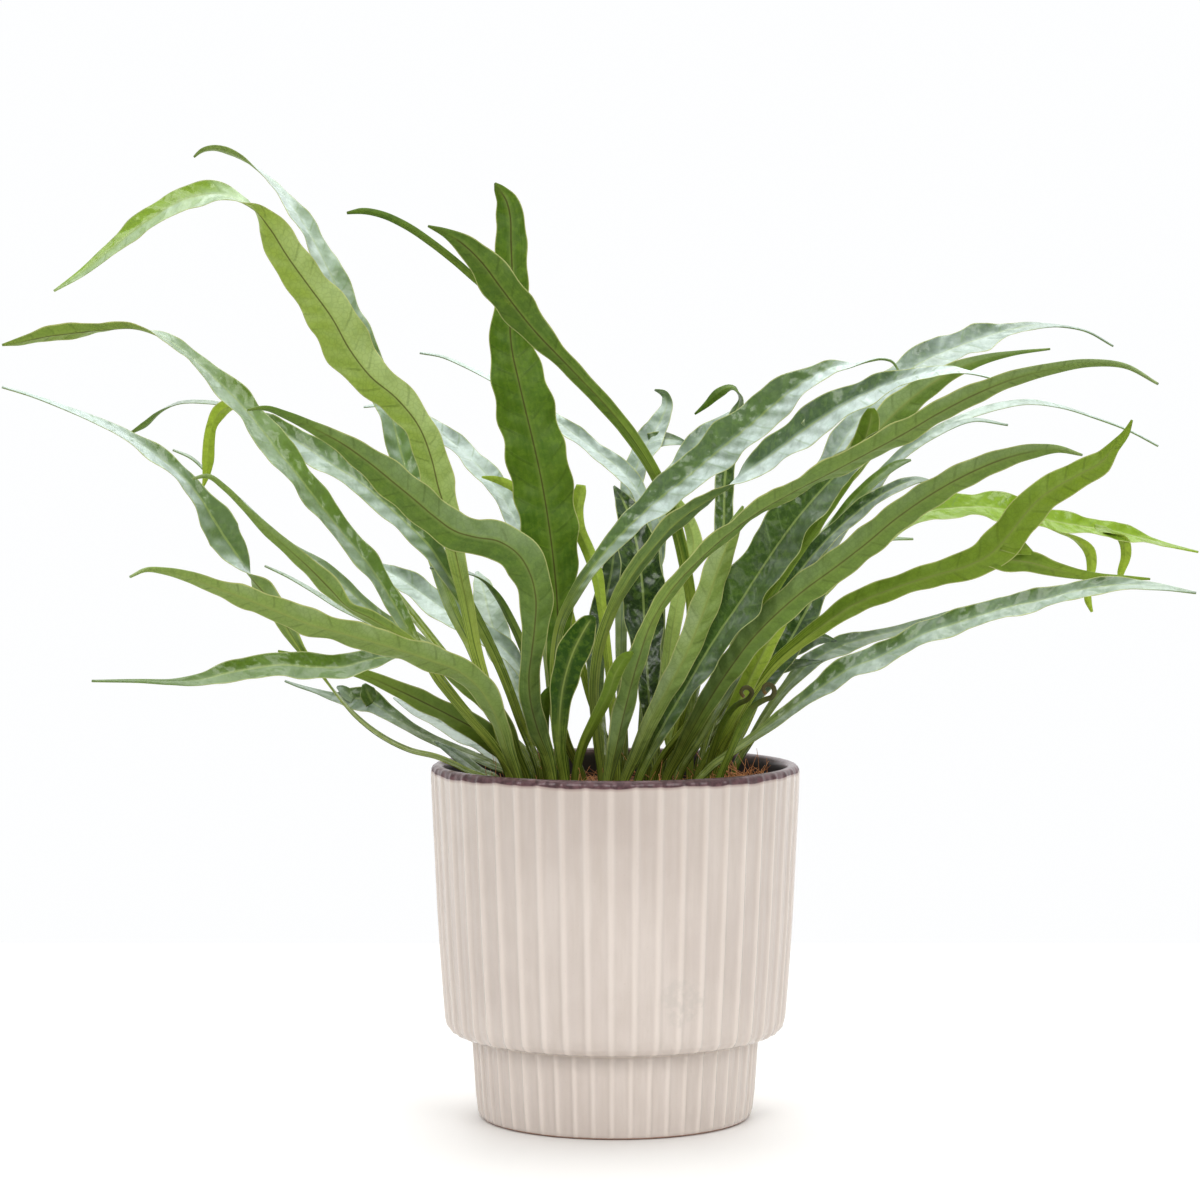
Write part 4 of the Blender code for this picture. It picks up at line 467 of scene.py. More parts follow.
# Side lobes: the frond that carries them, then the same kind of row from the midrib outwards.
# The first entry of each lobe is on the mother's midrib; depth follows the mother, plus a droop in mm.
LOBES = [
    ("frond_fork_arch", 6, [
        (512, 302, 3.0, 165), (495, 294, 3.2, 165), (478, 281, 2.8, 165), (455, 261, 2.8, 165),
        (432, 243, 2.8, 165), (405, 225, 2.8, 165), (380, 214, 2.6, 165), (362, 211, 2.4, 165),
        (347, 213, 1.0, 165)]),
    ("frond_bright_fork", 8, [
        (985, 557, 8.0, 170), (1008, 560, 10.0, 165), (1030, 563, 8.6, 165), (1052, 569, 6.0, 165),
        (1076, 574, 4.0, 165), (1100, 577, 2.8, 165), (1128, 578, 1.8, 165), (1150, 579, 0.8, 165)]),
    ("frond_twisted_fork", 2, [
        (806, 430, 6.0, 30), (824, 412, 7.5, 28), (842, 398, 7.5, 28), (858, 389, 4.0, 30),
        (868, 385, 1.0, 30)]),
    ("frond_bright_behind", -6, [
        (1040, 521, 6.0, 60), (1058, 533, 5.0, 80), (1078, 541, 4.5, 120), (1090, 552, 5.0, 160),
        (1092, 566, 4.0, 165), (1089, 582, 2.6, 165), (1088, 600, 3.0, 170), (1092, 612, 1.0, 170)]),
    ("frond_bright_behind", 5, [
        (1095, 529, 5.0, 50), (1112, 532, 5.0, 70), (1124, 541, 5.0, 150), (1126, 556, 4.2, 165),
        (1121, 572, 3.0, 165), (1119, 584, 0.8, 165)]),
    ("frond_low_lobe", 2, [
        (356, 699, 5.0, 15), (348, 694, 5.0, 15), (342, 689, 3.6, 20), (337, 687, 1.0, 20)]),
    ("frond_low_lobe", -2, [
        (372, 703, 6.0, 20), (367, 692, 7.0, 15), (364, 684, 1.6, 15)]),
    ("frond_dark_lobed", 6, [
        (780, 655, 6.0, 14), (800, 645, 6.5, 16), (820, 638, 5.0, 20), (836, 641, 1.0, 25)]),
    ("frond_dark_lobed", 5, [
        (768, 675, 5.0, 14), (786, 667, 5.0, 20), (804, 663, 3.4, 30), (822, 661, 0.8, 40)]),
    ("frond_fork_back", 4, [
        (648, 443, 7.0, 28), (664, 440, 7.0, 30), (678, 441, 4.0, 35), (690, 445, 0.8, 40)]),
    ("frond_bright_fork", 0, [
        (1004, 541, 6.0, 175), (1020, 547, 6.0, 175), (1032, 553, 1.6, 175)]),
]

# Look of each frond: quilting depth in mm, then youth, silver wax and painted sky sheen, darkness and
# browning from 0 to 1
LOOKS = {
    # frond_bright_arch: its youth value also paints the light that shines through it from behind
    "frond_bright_arch": (0.26, 0.85, 0.50, 0.02, 0.12),
    "frond_silver_arch": (0.25, 0.30, 0.90, 0.15, 0.06),
    "frond_dark_long": (0.26, 0.42, 0.50, 0.12, 0.10),
    "frond_far_left": (0.22, 0.25, 0.95, 0.20, 0.10),
    "frond_side_sway": (0.25, 0.15, 0.42, 0.25, 0.10),
    "frond_silver_band": (0.28, 0.25, 0.60, 0.30, 0.05),
    "frond_far_curl": (0.25, 0.15, 0.45, 0.40, 0.10),
    "frond_hanging_tip": (0.20, 0.85, 0.05, 0.05, 0.05),
    "frond_thin_pair": (0.20, 0.35, 0.75, 0.20, 0.10),
    "frond_thread_tip": (0.20, 0.25, 0.45, 0.35, 0.15),
    "frond_low_olive": (0.20, 0.45, 1.00, 0.10, 0.04),
    "frond_low_twist": (0.22, 0.35, 0.16, 0.25, 0.05),
    "frond_low_thread": (0.20, 0.25, 0.50, 0.30, 0.15),
    "frond_low_lobe": (0.30, 0.20, 0.45, 0.35, 0.05),
    "frond_low_yellow": (0.20, 0.40, 0.20, 0.15, 0.15),
    "frond_low_silver": (0.28, 0.10, 0.92, 0.30, 0.05),
    "frond_rim_small": (0.22, 0.15, 0.35, 0.45, 0.05),
    "frond_behind_upright": (0.28, 0.05, 0.80, 0.35, 0.05),
    "frond_blue_back": (0.28, 0.02, 0.90, 0.40, 0.02),
    "frond_mid_silver": (0.28, 0.05, 0.80, 0.30, 0.05),
    "frond_pale_tongue": (0.25, 0.25, 0.60, 0.05, 0.05),
    "frond_dark_elbow": (0.28, 0.10, 0.35, 0.70, 0.05),
    "frond_upright": (0.24, 0.12, 0.02, 0.30, 0.12),
    "frond_fork_arch": (0.22, 0.15, 0.14, 0.40, 0.12),
    "frond_young_strap": (0.22, 0.95, 0.05, 0.02, 0.02),
    "frond_young_back": (0.22, 0.90, 0.05, 0.05, 0.02),
    "frond_young_blade": (0.22, 0.10, 0.00, 1.00, 0.03),
    "frond_young_left": (0.22, 0.30, 0.02, 0.60, 0.03),
    "frond_young_right": (0.22, 0.40, 0.02, 0.45, 0.03),
    "frond_round_back": (0.30, 0.05, 0.05, 0.95, 0.02),
    "frond_left_shadow": (0.25, 0.10, 0.10, 0.75, 0.05),
    "frond_pale_strand": (0.15, 0.60, 0.30, 0.05, 0.05),
    "frond_fork_back": (0.30, 0.05, 0.62, 0.30, 0.02),
    "frond_silver_blade": (0.35, 0.05, 0.60, 0.35, 0.02),
    "frond_bubbled": (0.62, 0.15, 1.00, 0.20, 0.02),
    "frond_twisted_fork": (0.40, 0.06, 1.00, 0.25, 0.02),
    "frond_folded_back": (0.30, 0.12, 0.06, 0.60, 0.02),
    "frond_front_rise": (0.25, 0.25, 0.80, 0.15, 0.10),
    "frond_broad_dark": (0.42, 0.12, 0.22, 0.50, 0.02),
    "frond_light_wing": (0.32, 0.45, 1.00, 0.05, 0.05),
    "frond_long_olive": (0.25, 0.25, 0.55, 0.15, 0.10),
    "frond_yellow_slip": (0.20, 0.90, 0.05, 0.05, 0.02),
    "frond_top_silver": (0.35, 0.05, 0.62, 0.50, 0.02),
    "frond_olive_wing": (0.28, 0.20, 0.35, 0.25, 0.06),
    "frond_faint_back": (0.25, 0.05, 0.80, 0.10, 0.02),
    "frond_grey_back": (0.28, 0.05, 0.60, 0.30, 0.02),
    "frond_bright_fork": (0.28, 0.50, 0.04, 0.25, 0.06),
    "frond_bright_behind": (0.25, 0.80, 0.02, 0.05, 0.05),
    "frond_lowest": (0.30, 0.20, 0.48, 0.35, 0.06),
    "frond_low_back": (0.28, 0.15, 0.34, 0.40, 0.06),
    "frond_dark_lobed": (0.32, 0.05, 0.12, 0.70, 0.05),
    "frond_round_tip": (0.28, 0.35, 0.10, 0.30, 0.05),
    "frond_green_tip": (0.25, 0.35, 0.15, 0.45, 0.05),
    "frond_grey_cap": (0.25, 0.05, 0.30, 0.60, 0.02),
    "frond_pale_finger": (0.22, 0.40, 0.35, 0.10, 0.05),
    "frond_near_fern_curl": (0.05, 0.10, 0.02, 0.60, 0.90),
    "frond_back_fern_curl": (0.05, 0.10, 0.02, 0.60, 0.90),
}


def unit(rows):
    """Return each row divided by its length."""
    return rows / np.maximum(np.linalg.norm(rows, axis=-1, keepdims=True), 1e-9)


def seen_at(px, py, depth):
    """Place in mm of what the photograph shows at a pixel, at a depth behind the pot's axis."""
    right = (np.asarray(px) - PHOTO_MIDDLE) / FOCAL_PX
    up = (PHOTO_MIDDLE - np.asarray(py)) / FOCAL_PX
    along = math.cos(CAMERA_PITCH) + up * math.sin(CAMERA_PITCH)
    rise = up * math.cos(CAMERA_PITCH) - math.sin(CAMERA_PITCH)
    reach = (np.asarray(depth) - CAMERA_Y) / along
    return np.stack([CAMERA_X + reach * right, CAMERA_Y + reach * along, CAMERA_Z + reach * rise], axis=-1)


def view_rays(points):
    """Unit directions from the camera to the points."""
    return unit(points - np.array([CAMERA_X, CAMERA_Y, CAMERA_Z]))


def spread_feet(feet):
    """Push the stems' feet apart on the soil until each has room for its own hole."""
    feet = feet.copy()
    for _ in range(400):
        gap = feet[:, None, :] - feet[None, :, :]
        near = np.linalg.norm(gap, axis=2)
        np.fill_diagonal(near, 1e9)
        short = np.maximum(FOOT_SPACING - near, 0.0)
        feet += (0.35 * short[:, :, None] * gap / np.maximum(near, 1e-6)[:, :, None]).sum(axis=1)
        reach = np.linalg.norm(feet, axis=1)
        feet *= np.minimum(1.0, FOOT_REACH / np.maximum(reach, 1e-6))[:, None]
    return feet


def smooth_through(knots, rows, places):
    """Smooth curve through rows at the knots (Catmull-Rom with the knots' own spacing)."""
    slopes = np.gradient(rows, knots, axis=0)
    k = np.clip(np.searchsorted(knots, places) - 1, 0, len(knots) - 2)
    span = (knots[k + 1] - knots[k])[:, None]
    t = ((places - knots[k]) / span[:, 0])[:, None]
    start = rows[k] * (2 * t ** 3 - 3 * t ** 2 + 1) + slopes[k] * span * (t ** 3 - 2 * t ** 2 + t)
    end = rows[k + 1] * (3 * t ** 2 - 2 * t ** 3) + slopes[k + 1] * span * (t ** 3 - t ** 2)
    return start + end


def resample(points, traits, step):
    """Even stations along a smooth curve through the points; traits follow along."""
    knots = np.concatenate([[0.0], np.cumsum(np.linalg.norm(np.diff(points, axis=0), axis=1))])
    count = max(6, int(round(knots[-1] / step)) + 1)
    fine = np.linspace(0.0, knots[-1], 8 * count)
    curve = smooth_through(knots, points, fine)
    run = np.concatenate([[0.0], np.cumsum(np.linalg.norm(np.diff(curve, axis=0), axis=1))])
    stations = np.linspace(0.0, run[-1], count)
    places = np.interp(stations, run, fine)
    line = smooth_through(knots, points, places)
    kept = np.stack([np.interp(places, knots, traits[:, i]) for i in range(traits.shape[1])], axis=1)
    return line, kept


class Ribbon:
    """A frond or a lobe: stations along the midrib, with width, facing and thickness."""

    def __init__(self, name, line, width, facing, side, foot_length):
        self.name = name
        self.line = line
        self.width = width
        self.facing = np.radians(facing)
        self.side = side
        self.foot_length = foot_length
        self.phase = 2.4 * (sum(ord(c) for c in name) % 17)

    def run(self):
        """Length from the foot to each station."""
        steps = np.linalg.norm(np.diff(self.line, axis=0), axis=1)
        return np.concatenate([[0.0], np.cumsum(steps)])

    def frame(self):
        """Tangent, upper side's normal and the direction across, at each station."""
        tangent = unit(np.gradient(self.line, axis=0))
        toward = -view_rays(self.line)
        toward = unit(toward - tangent * (toward * tangent).sum(axis=1, keepdims=True))
        sideways = self.side * np.cross(tangent, toward)
        normal = np.cos(self.facing)[:, None] * toward + np.sin(self.facing)[:, None] * sideways
        return tangent, normal, np.cross(normal, tangent)

    def thickness(self):
        """Full at the stalk's foot, a leaf's thickness above it."""
        rise = np.clip((self.run() - self.foot_length) / 45.0, 0.0, 1.0)
        stem = np.where(self.foot_length > 0.0, STEM_THICKNESS, BLADE_THICKNESS)
        return stem + (BLADE_THICKNESS - stem) * rise

    def surface(self, across):
        """Mid-surface points for positions across from -1 to 1: channelled, with waved edges."""
        _, normal, sideways = self.frame()
        t = np.asarray(across)[None, :]
        width = self.width[:, None]
        turn = 2.0 * math.pi * self.run()[:, None] / WAVE_LENGTH + self.phase
        ripple = np.sin(turn + np.where(t > 0.0, 2.1, 0.0)) * WAVE_HEIGHT
        blade = np.clip((width - 4.0) / 4.0, 0.0, 1.0)
        lift = width * blade * (CHANNEL * np.abs(t) ** 1.5 + ripple * t ** 2)
        spread = 0.5 * width * t * (1.0 + 0.05 * blade * np.sin(1.7 * turn + 2.6 * np.sign(t)))
        points = self.line[:, None, :] + sideways[:, None, :] * spread[:, :, None]
        return points + normal[:, None, :] * lift[:, :, None]


def frond_ribbon(row, foot):
    """Turn a row of the table into a ribbon standing on its foot in the soil."""
    name, _, tip_depth, marks = row
    marks = np.array(marks, dtype=float)
    seen = marks[1:]
    lead = np.hypot(*np.diff(marks[:, :2], axis=0).T)
    share = np.cumsum(lead) / lead.sum()
    depth = foot[1] + (tip_depth - foot[1]) * share ** 1.35
    above = seen_at(seen[:, 0], seen[:, 1], depth)
    upright = [(foot[0], foot[1], SOIL_TOP + z) for z in (GAP - HOLE_DEPTH, -0.5 * HOLE_DEPTH, 0.0, 2.5)]
    points = np.vstack([upright, above])
    traits = np.vstack([np.repeat([[STEM_WIDTH, marks[0, 3]]], len(upright), axis=0), seen[:, 2:]])
    line, kept = resample(points, traits, SAMPLE_STEP)
    side = 1.0 if marks[-1, 0] < marks[0, 0] else -1.0
    return Ribbon(name, line, kept[:, 0], kept[:, 1], side, HOLE_DEPTH)


def meeting_pairs(clouds, owners, reach):
    """Index pairs of sample points of different fronds that the camera sees closer than reach."""
    cells = np.floor(clouds / reach).astype(np.int64)
    key = cells[:, 0] * 100003 + cells[:, 1]
    order = np.argsort(key, kind="stable")
    sorted_key = key[order]
    found = []
    for dx, dy in ((0, 0), (1, -1), (1, 0), (1, 1), (0, 1)):
        wanted = (cells[:, 0] + dx) * 100003 + cells[:, 1] + dy
        low = np.searchsorted(sorted_key, wanted, side="left")
        high = np.searchsorted(sorted_key, wanted, side="right")
        count = high - low
        first = np.repeat(np.arange(len(key)), count)
        offset = np.arange(count.sum()) - np.repeat(np.cumsum(count) - count, count)
        second = order[np.repeat(low, count) + offset]
        good = owners[first] != owners[second]
        if (dx, dy) == (0, 0):
            good &= first < second
        first = first[good]
        second = second[good]
        close = np.hypot(*(clouds[first] - clouds[second]).T) < reach
        found.append(np.stack([first[close], second[close]]))
    pairs = np.concatenate(found, axis=1)
    swap = owners[pairs[0]] > owners[pairs[1]]
    pairs[:, swap] = pairs[::-1, swap]
    return pairs


def side_signs(pairs, ahead, stations, owner_a, owner_b, anchored):
    """One front-or-behind sign for each stretch where two fronds meet, kept all along the stretch."""
    signs = np.ones(pairs.shape[1])
    key = owner_a * 1000 + owner_b
    for each in np.unique(key):
        rows = np.nonzero(key == each)[0]
        place = stations[pairs[0, rows]]
        order = np.argsort(place, kind="stable")
        rows = rows[order]
        breaks = np.nonzero(np.diff(place[order]) > 4)[0] + 1
        for group in np.split(rows, breaks):
            weight = 1.0 + 30.0 * anchored[group]
            signs[group] = 1.0 if (ahead[group] * weight).sum() >= 0.0 else -1.0
    return signs


def clear_fronds(ribbons, rounds=160):
    """Slide the fronds along the photograph's line of sight until each passes clear of the others.

    Their outlines in the photograph stay where they were; only their distance changes, smoothly."""
    across = np.linspace(-1.0, 1.0, 9)
    sizes = [len(r.line) for r in ribbons]
    starts = np.concatenate([[0], np.cumsum(sizes)])
    clouds = np.concatenate([r.surface(across).reshape(-1, 3) for r in ribbons])
    owner_of = np.repeat(np.arange(len(ribbons)), sizes)
    station_of = np.repeat(np.arange(starts[-1]), len(across))
    owners = owner_of[station_of]
    relative = clouds - np.array([CAMERA_X, CAMERA_Y, CAMERA_Z])
    flat = np.stack([relative[:, 0] / relative[:, 1], relative[:, 2] / relative[:, 1]], axis=1) * -CAMERA_Y
    distance = np.linalg.norm(relative, axis=1)
    height = np.concatenate([r.run() - r.foot_length for r in ribbons])
    free = np.clip(height / 22.0, 0.0, 1.0) ** 1.5
    lean = np.concatenate([np.abs((r.frame()[1] * view_rays(r.line)).sum(axis=1)) for r in ribbons])
    half = np.concatenate([r.thickness() for r in ribbons]) / np.maximum(lean, 0.35) / 2.0
    pairs = meeting_pairs(flat, owners, 2.2)
    first = station_of[pairs[0]]
    second = station_of[pairs[1]]
    ahead = distance[pairs[0]] - distance[pairs[1]]
    anchored = (free[first] + free[second] < 0.5).astype(float)
    signs = side_signs(pairs, ahead, station_of, owners[pairs[0]], owners[pairs[1]], anchored)
    wanted = half[first] + half[second] + CLEARANCE - BLADE_THICKNESS
    wanted = wanted * np.minimum(1.0, 0.25 + free[first] + free[second])
    shift = np.zeros(starts[-1])
    kernel = np.exp(-0.5 * (np.arange(-9, 10) / 3.2) ** 2)
    kernel /= kernel.sum()
    for _ in range(rounds):
        short = wanted - signs * (ahead + shift[first] - shift[second])
        bad = short > 0.0
        if not bad.any():
            break
        push = np.zeros_like(shift)
        pull = np.zeros_like(shift)
        up = bad & (signs > 0.0)
        down = bad & (signs < 0.0)
        np.maximum.at(push, first[up], short[up])
        np.maximum.at(pull, second[up], short[up])
        np.maximum.at(pull, first[down], short[down])
        np.maximum.at(push, second[down], short[down])
        move = 0.5 * (push - pull)
        for k in range(len(ribbons)):
            part = slice(starts[k], starts[k + 1])
            padded = np.concatenate([np.zeros(9), move[part], np.full(9, move[starts[k + 1] - 1])])
            move[part] = np.convolve(padded, kernel, mode="valid")
        shift += 1.1 * move * free
    for k, ribbon in enumerate(ribbons):
        part = shift[starts[k]:starts[k + 1], None]
        ribbon.line = ribbon.line + view_rays(ribbon.line) * part


def lobe_ribbon(mother, row):
    """A side lobe that springs from its mother's midrib and keeps near her depth."""
    name, droop, marks = row
    marks = np.array(marks, dtype=float)
    root = mother.line[np.argmin(pixel_gap(mother.line, marks[0, 0], marks[0, 1]))]
    share = np.linspace(0.0, 1.0, len(marks))
    depth = root[1] + droop * share
    points = seen_at(marks[:, 0], marks[:, 1], depth)
    points += (root - points[0]) * (1.0 - share[:, None]) ** 2
    line, kept = resample(points, marks[:, 2:], SAMPLE_STEP)
    return Ribbon(name, line, kept[:, 0], kept[:, 1], mother.side, 0.0)


def pixel_gap(points, px, py):
    """How far the points look from a pixel of the photograph, in units of the view."""
    mark = view_rays(seen_at(px, py, 0.0)[None, :])
    return np.linalg.norm(view_rays(points) - mark, axis=1)


def surface_mesh(name, points, faces, uv=None, traits=None, materials=(), slots=None):
    """Mesh from whole arrays: points in mm, quads, a UV per point and named values per point."""
    mesh = bpy.data.meshes.new(name)
    quads = np.asarray(faces, dtype=np.int32)
    mesh.vertices.add(len(points))
    mesh.vertices.foreach_set("co", (np.asarray(points) * MM).astype(np.float32).ravel())
    mesh.loops.add(quads.size)
    mesh.loops.foreach_set("vertex_index", quads.ravel())
    mesh.polygons.add(len(quads))
    mesh.polygons.foreach_set("loop_start", np.arange(0, quads.size, quads.shape[1], dtype=np.int32))
    mesh.polygons.foreach_set("use_smooth", np.ones(len(quads), bool))
    for material in materials:
        mesh.materials.append(material)
    if slots is not None:
        mesh.polygons.foreach_set("material_index", np.asarray(slots, dtype=np.int32))
    if uv is not None:
        layer = mesh.uv_layers.new(name="along")
        layer.data.foreach_set("uv", np.asarray(uv)[quads.ravel()].astype(np.float32).ravel())
    for key, values in (traits or {}).items():
        layer = mesh.attributes.new(key, "FLOAT", "POINT")
        layer.data.foreach_set("value", np.asarray(values, dtype=np.float32).ravel())
    mesh.update()
    mesh.validate()
    made = bpy.data.objects.new(name, mesh)
    bpy.context.scene.collection.objects.link(made)
    return made


def grid_quads(rows, columns, wrap=False, start=0):
    """Quads of a grid of points numbered row by row; wrap joins the last column to the first."""
    i = np.arange(rows - 1)[:, None]
    j = np.arange(columns if wrap else columns - 1)[None, :]
    nxt = (j + 1) % columns
    corners = [i * columns + j, i * columns + nxt, (i + 1) * columns + nxt, (i + 1) * columns + j]
    return start + np.stack([c + 0 * j for c in corners], axis=-1).reshape(-1, 4)


def refined(ribbon):
    """The same ribbon with stations about a millimetre apart."""
    knots = ribbon.run()
    count = max(12, int(knots[-1] / FINE_STEP))
    places = np.linspace(0.0, knots[-1], count)
    line = smooth_through(knots, ribbon.line, places)
    width = np.interp(places, knots, ribbon.width)
    facing = np.degrees(np.interp(places, knots, ribbon.facing))
    return Ribbon(ribbon.name, line, width, facing, ribbon.side, ribbon.foot_length)


def blade_relief(fine, t, quilting):
    """Relief in mm at each point of a blade, and the count of side veins up to it.

    It sums a wave with one cycle per side vein (the quilting), a short wave along each margin (the
    crinkles) and, where the quilting is deep, a product of two sines (the pebbles)."""
    run = fine.run()
    width = fine.width[:, None]
    side = np.sign(t)[None, :]
    far = np.abs(t)[None, :]
    vein = run[:, None] - VEIN_SLANT * width * far ** 1.25 + 1.6 * np.sin(run / 11.0 + fine.phase)[:, None]
    cycles = vein / VEIN_SPACING + fine.phase / (2.0 * math.pi) + VEIN_STAGGER * (side > 0.0)
    quilts = min(quilting, QUILT_LIMIT) * np.sin(2.0 * math.pi * cycles) * far * (1.0 - far) * 4.0
    crinkle = np.sin(2.0 * math.pi * run / CRINKLE_LENGTH + 2.0 * np.sin(run / 13.0) + fine.phase)[:, None]
    across = 0.5 * width * t[None, :]
    pebbles = np.sin(2.0 * math.pi * run / PEBBLE_LENGTH + 1.3 * np.sin(run / 9.0))[:, None]
    pebbles = pebbles * np.sin(2.0 * math.pi * across / PEBBLE_WIDTH + 0.9 * np.sin(run / 5.0)[:, None])
    pebbles = pebbles * (1.0 - far ** 4) * max(0.0, quilting - PEBBLES_FROM) * PEBBLE_GAIN
    return pebbles + quilts + CRINKLE_DEPTH * crinkle * side * far ** 4, cycles


def painted_sky_sheen(middle, normal, t, width):
    """Painted sky sheen of both skins: how far each turns to the sky, the halves folded like a V at the
    midrib.
    """
    turned = unit(np.cross(np.gradient(middle, axis=1), np.gradient(middle, axis=0)))
    turned = turned * np.sign((turned * normal[:, None, :]).sum(axis=2, keepdims=True))
    lean = np.tanh(t[None, :] * width / 1.6)[:, :, None]
    fold = SHEEN_FOLD * lean * unit(np.gradient(middle, axis=1))
    rise = unit(0.45 * turned + 0.55 * normal[:, None, :] - fold)[:, :, 2]
    above = np.clip(rise * 2.0 - 0.35, 0.0, 1.0)
    below = np.clip(0.45 - rise * 1.3, 0.0, 1.0)
    return np.concatenate([above, below[:, ::-1]], axis=1)


def skin_quads(rows):
    """Quads around both skins and over the two ends, with 0 for the upper material and 1 for the lower."""
    columns = 2 * FINE_ACROSS
    quads = grid_quads(rows, columns, wrap=True)[:, ::-1]
    cap = np.arange(FINE_ACROSS - 1)
    foot = np.stack([cap, columns - 1 - cap, columns - 2 - cap, cap + 1], axis=1)[:, ::-1]
    tip = (rows - 1) * columns + foot[:, ::-1]
    below = np.tile(np.arange(columns), rows - 1) >= FINE_ACROSS - 1
    slots = np.concatenate([below.astype(int), np.zeros(2 * len(foot), dtype=int)])
    return np.concatenate([quads, foot, tip]), slots


def fine_blade(ribbon, quilting):
    """Closed blade as two skins of one grid: mid-surface plus or minus half the leaf's thickness,

    thinned towards the edges, with its relief and a midrib that is raised more below than above."""
    fine = refined(ribbon)
    t = np.sin(np.linspace(-0.5 * math.pi, 0.5 * math.pi, FINE_ACROSS))
    run = fine.run()
    middle = fine.surface(t)
    _, normal, _ = fine.frame()
    width = fine.width[:, None]
    blade = np.clip((width - 4.0) / 5.0, 0.0, 1.0)
    ripe = np.clip((run[-1] - run) / 6.0, 0.0, 1.0)[:, None]
    relief, cycles = blade_relief(fine, t, quilting)
    middle = middle + normal[:, None, :] * (blade * ripe * relief)[:, :, None]
    narrow = np.clip((7.0 - fine.width) / 4.0, 0.0, 1.0)
    skin = LEAF_SKIN + (BLADE_THICKNESS - LEAF_SKIN) * narrow + (fine.thickness() - BLADE_THICKNESS)
    half = 0.5 * skin[:, None] * (1.0 - 0.62 * np.abs(t)[None, :] ** 3)
    rib = np.exp(-((t[None, :] * 0.5 * width) / RIB_HALF_WIDTH) ** 2) * np.clip(width / 9.0, 0.0, 1.0) * ripe
    upper = middle + normal[:, None, :] * (half + RIB_ABOVE * rib)[:, :, None]
    lower = middle - normal[:, None, :] * (half + RIB_BELOW * rib)[:, :, None]
    points = np.concatenate([upper, lower[:, ::-1]], axis=1)
    grid = points.shape[:2]
    quads, slots = skin_quads(grid[0])
    u = np.broadcast_to(0.5 + 0.5 * np.concatenate([t, t[::-1]]), grid)
    v = np.broadcast_to(run[:, None] * MM * 10.0, grid)
    outward = (run / run[-1])[:, None]
    stalk = np.clip(1.0 - (width - 3.4) / 4.5, 0.0, 1.0) * np.clip(1.25 - outward * 1.6, 0.0, 1.0)
    traits = {
        "stalk": stalk * (1.0 if fine.foot_length > 0.0 else 0.3),
        "tip": np.clip((outward - 0.82) / 0.18, 0.0, 1.0),
        "outward": outward,
        "half_width": 0.5 * width,
        "vein": np.concatenate([cycles, cycles[:, ::-1]], axis=1),
        # skyward carries the painted sky sheen that the leaf finishes lay over both skins
        "skyward": painted_sky_sheen(middle, normal, t, width),
    }
    traits = {key: np.broadcast_to(value, grid) for key, value in traits.items()}
    return points.reshape(-1, 3), quads, np.stack([u, v], axis=-1).reshape(-1, 2), traits, slots


def frond_piece(ribbon, lobes, look, materials):
    """One frond with its lobes in one mesh; its look's values go with every point."""
    points, quads, uv, traits, slots = [], [], [], [], []
    for part in [ribbon] + lobes:
        made = fine_blade(part, look[0])
        quads.append(made[1] + sum(len(p) for p in points))
        points.append(made[0])
        uv.append(made[2])
        traits.append({key: np.asarray(value).ravel() for key, value in made[3].items()})
        slots.append(made[4])
    joined = {key: np.concatenate([t[key] for t in traits]) for key in traits[0]}
    total = len(joined["tip"])
    for key, value in zip(("young", "bloom", "deep", "brown"), look[1:]):
        joined[key] = np.full(total, value)
    whole = [np.concatenate(rows) for rows in (points, quads, uv, slots)]
    piece = surface_mesh(ribbon.name + "_leaf", *whole[:3], joined, materials, whole[3])
    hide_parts(ribbon.name)
    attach(piece, "root")


def smooth_profile(rows, step):
    """Even points along a smooth curve through the profile's radius, height and flute depth."""
    rows = np.array(rows)
    knots = np.concatenate([[0.0], np.cumsum(np.hypot(np.diff(rows[:, 0]), np.diff(rows[:, 1])))])
    places = np.unique(np.concatenate([knots, np.linspace(0.0, knots[-1], int(knots[-1] / step))]))
    return np.stack([np.interp(places, knots, rows[:, k]) for k in range(3)], axis=1)


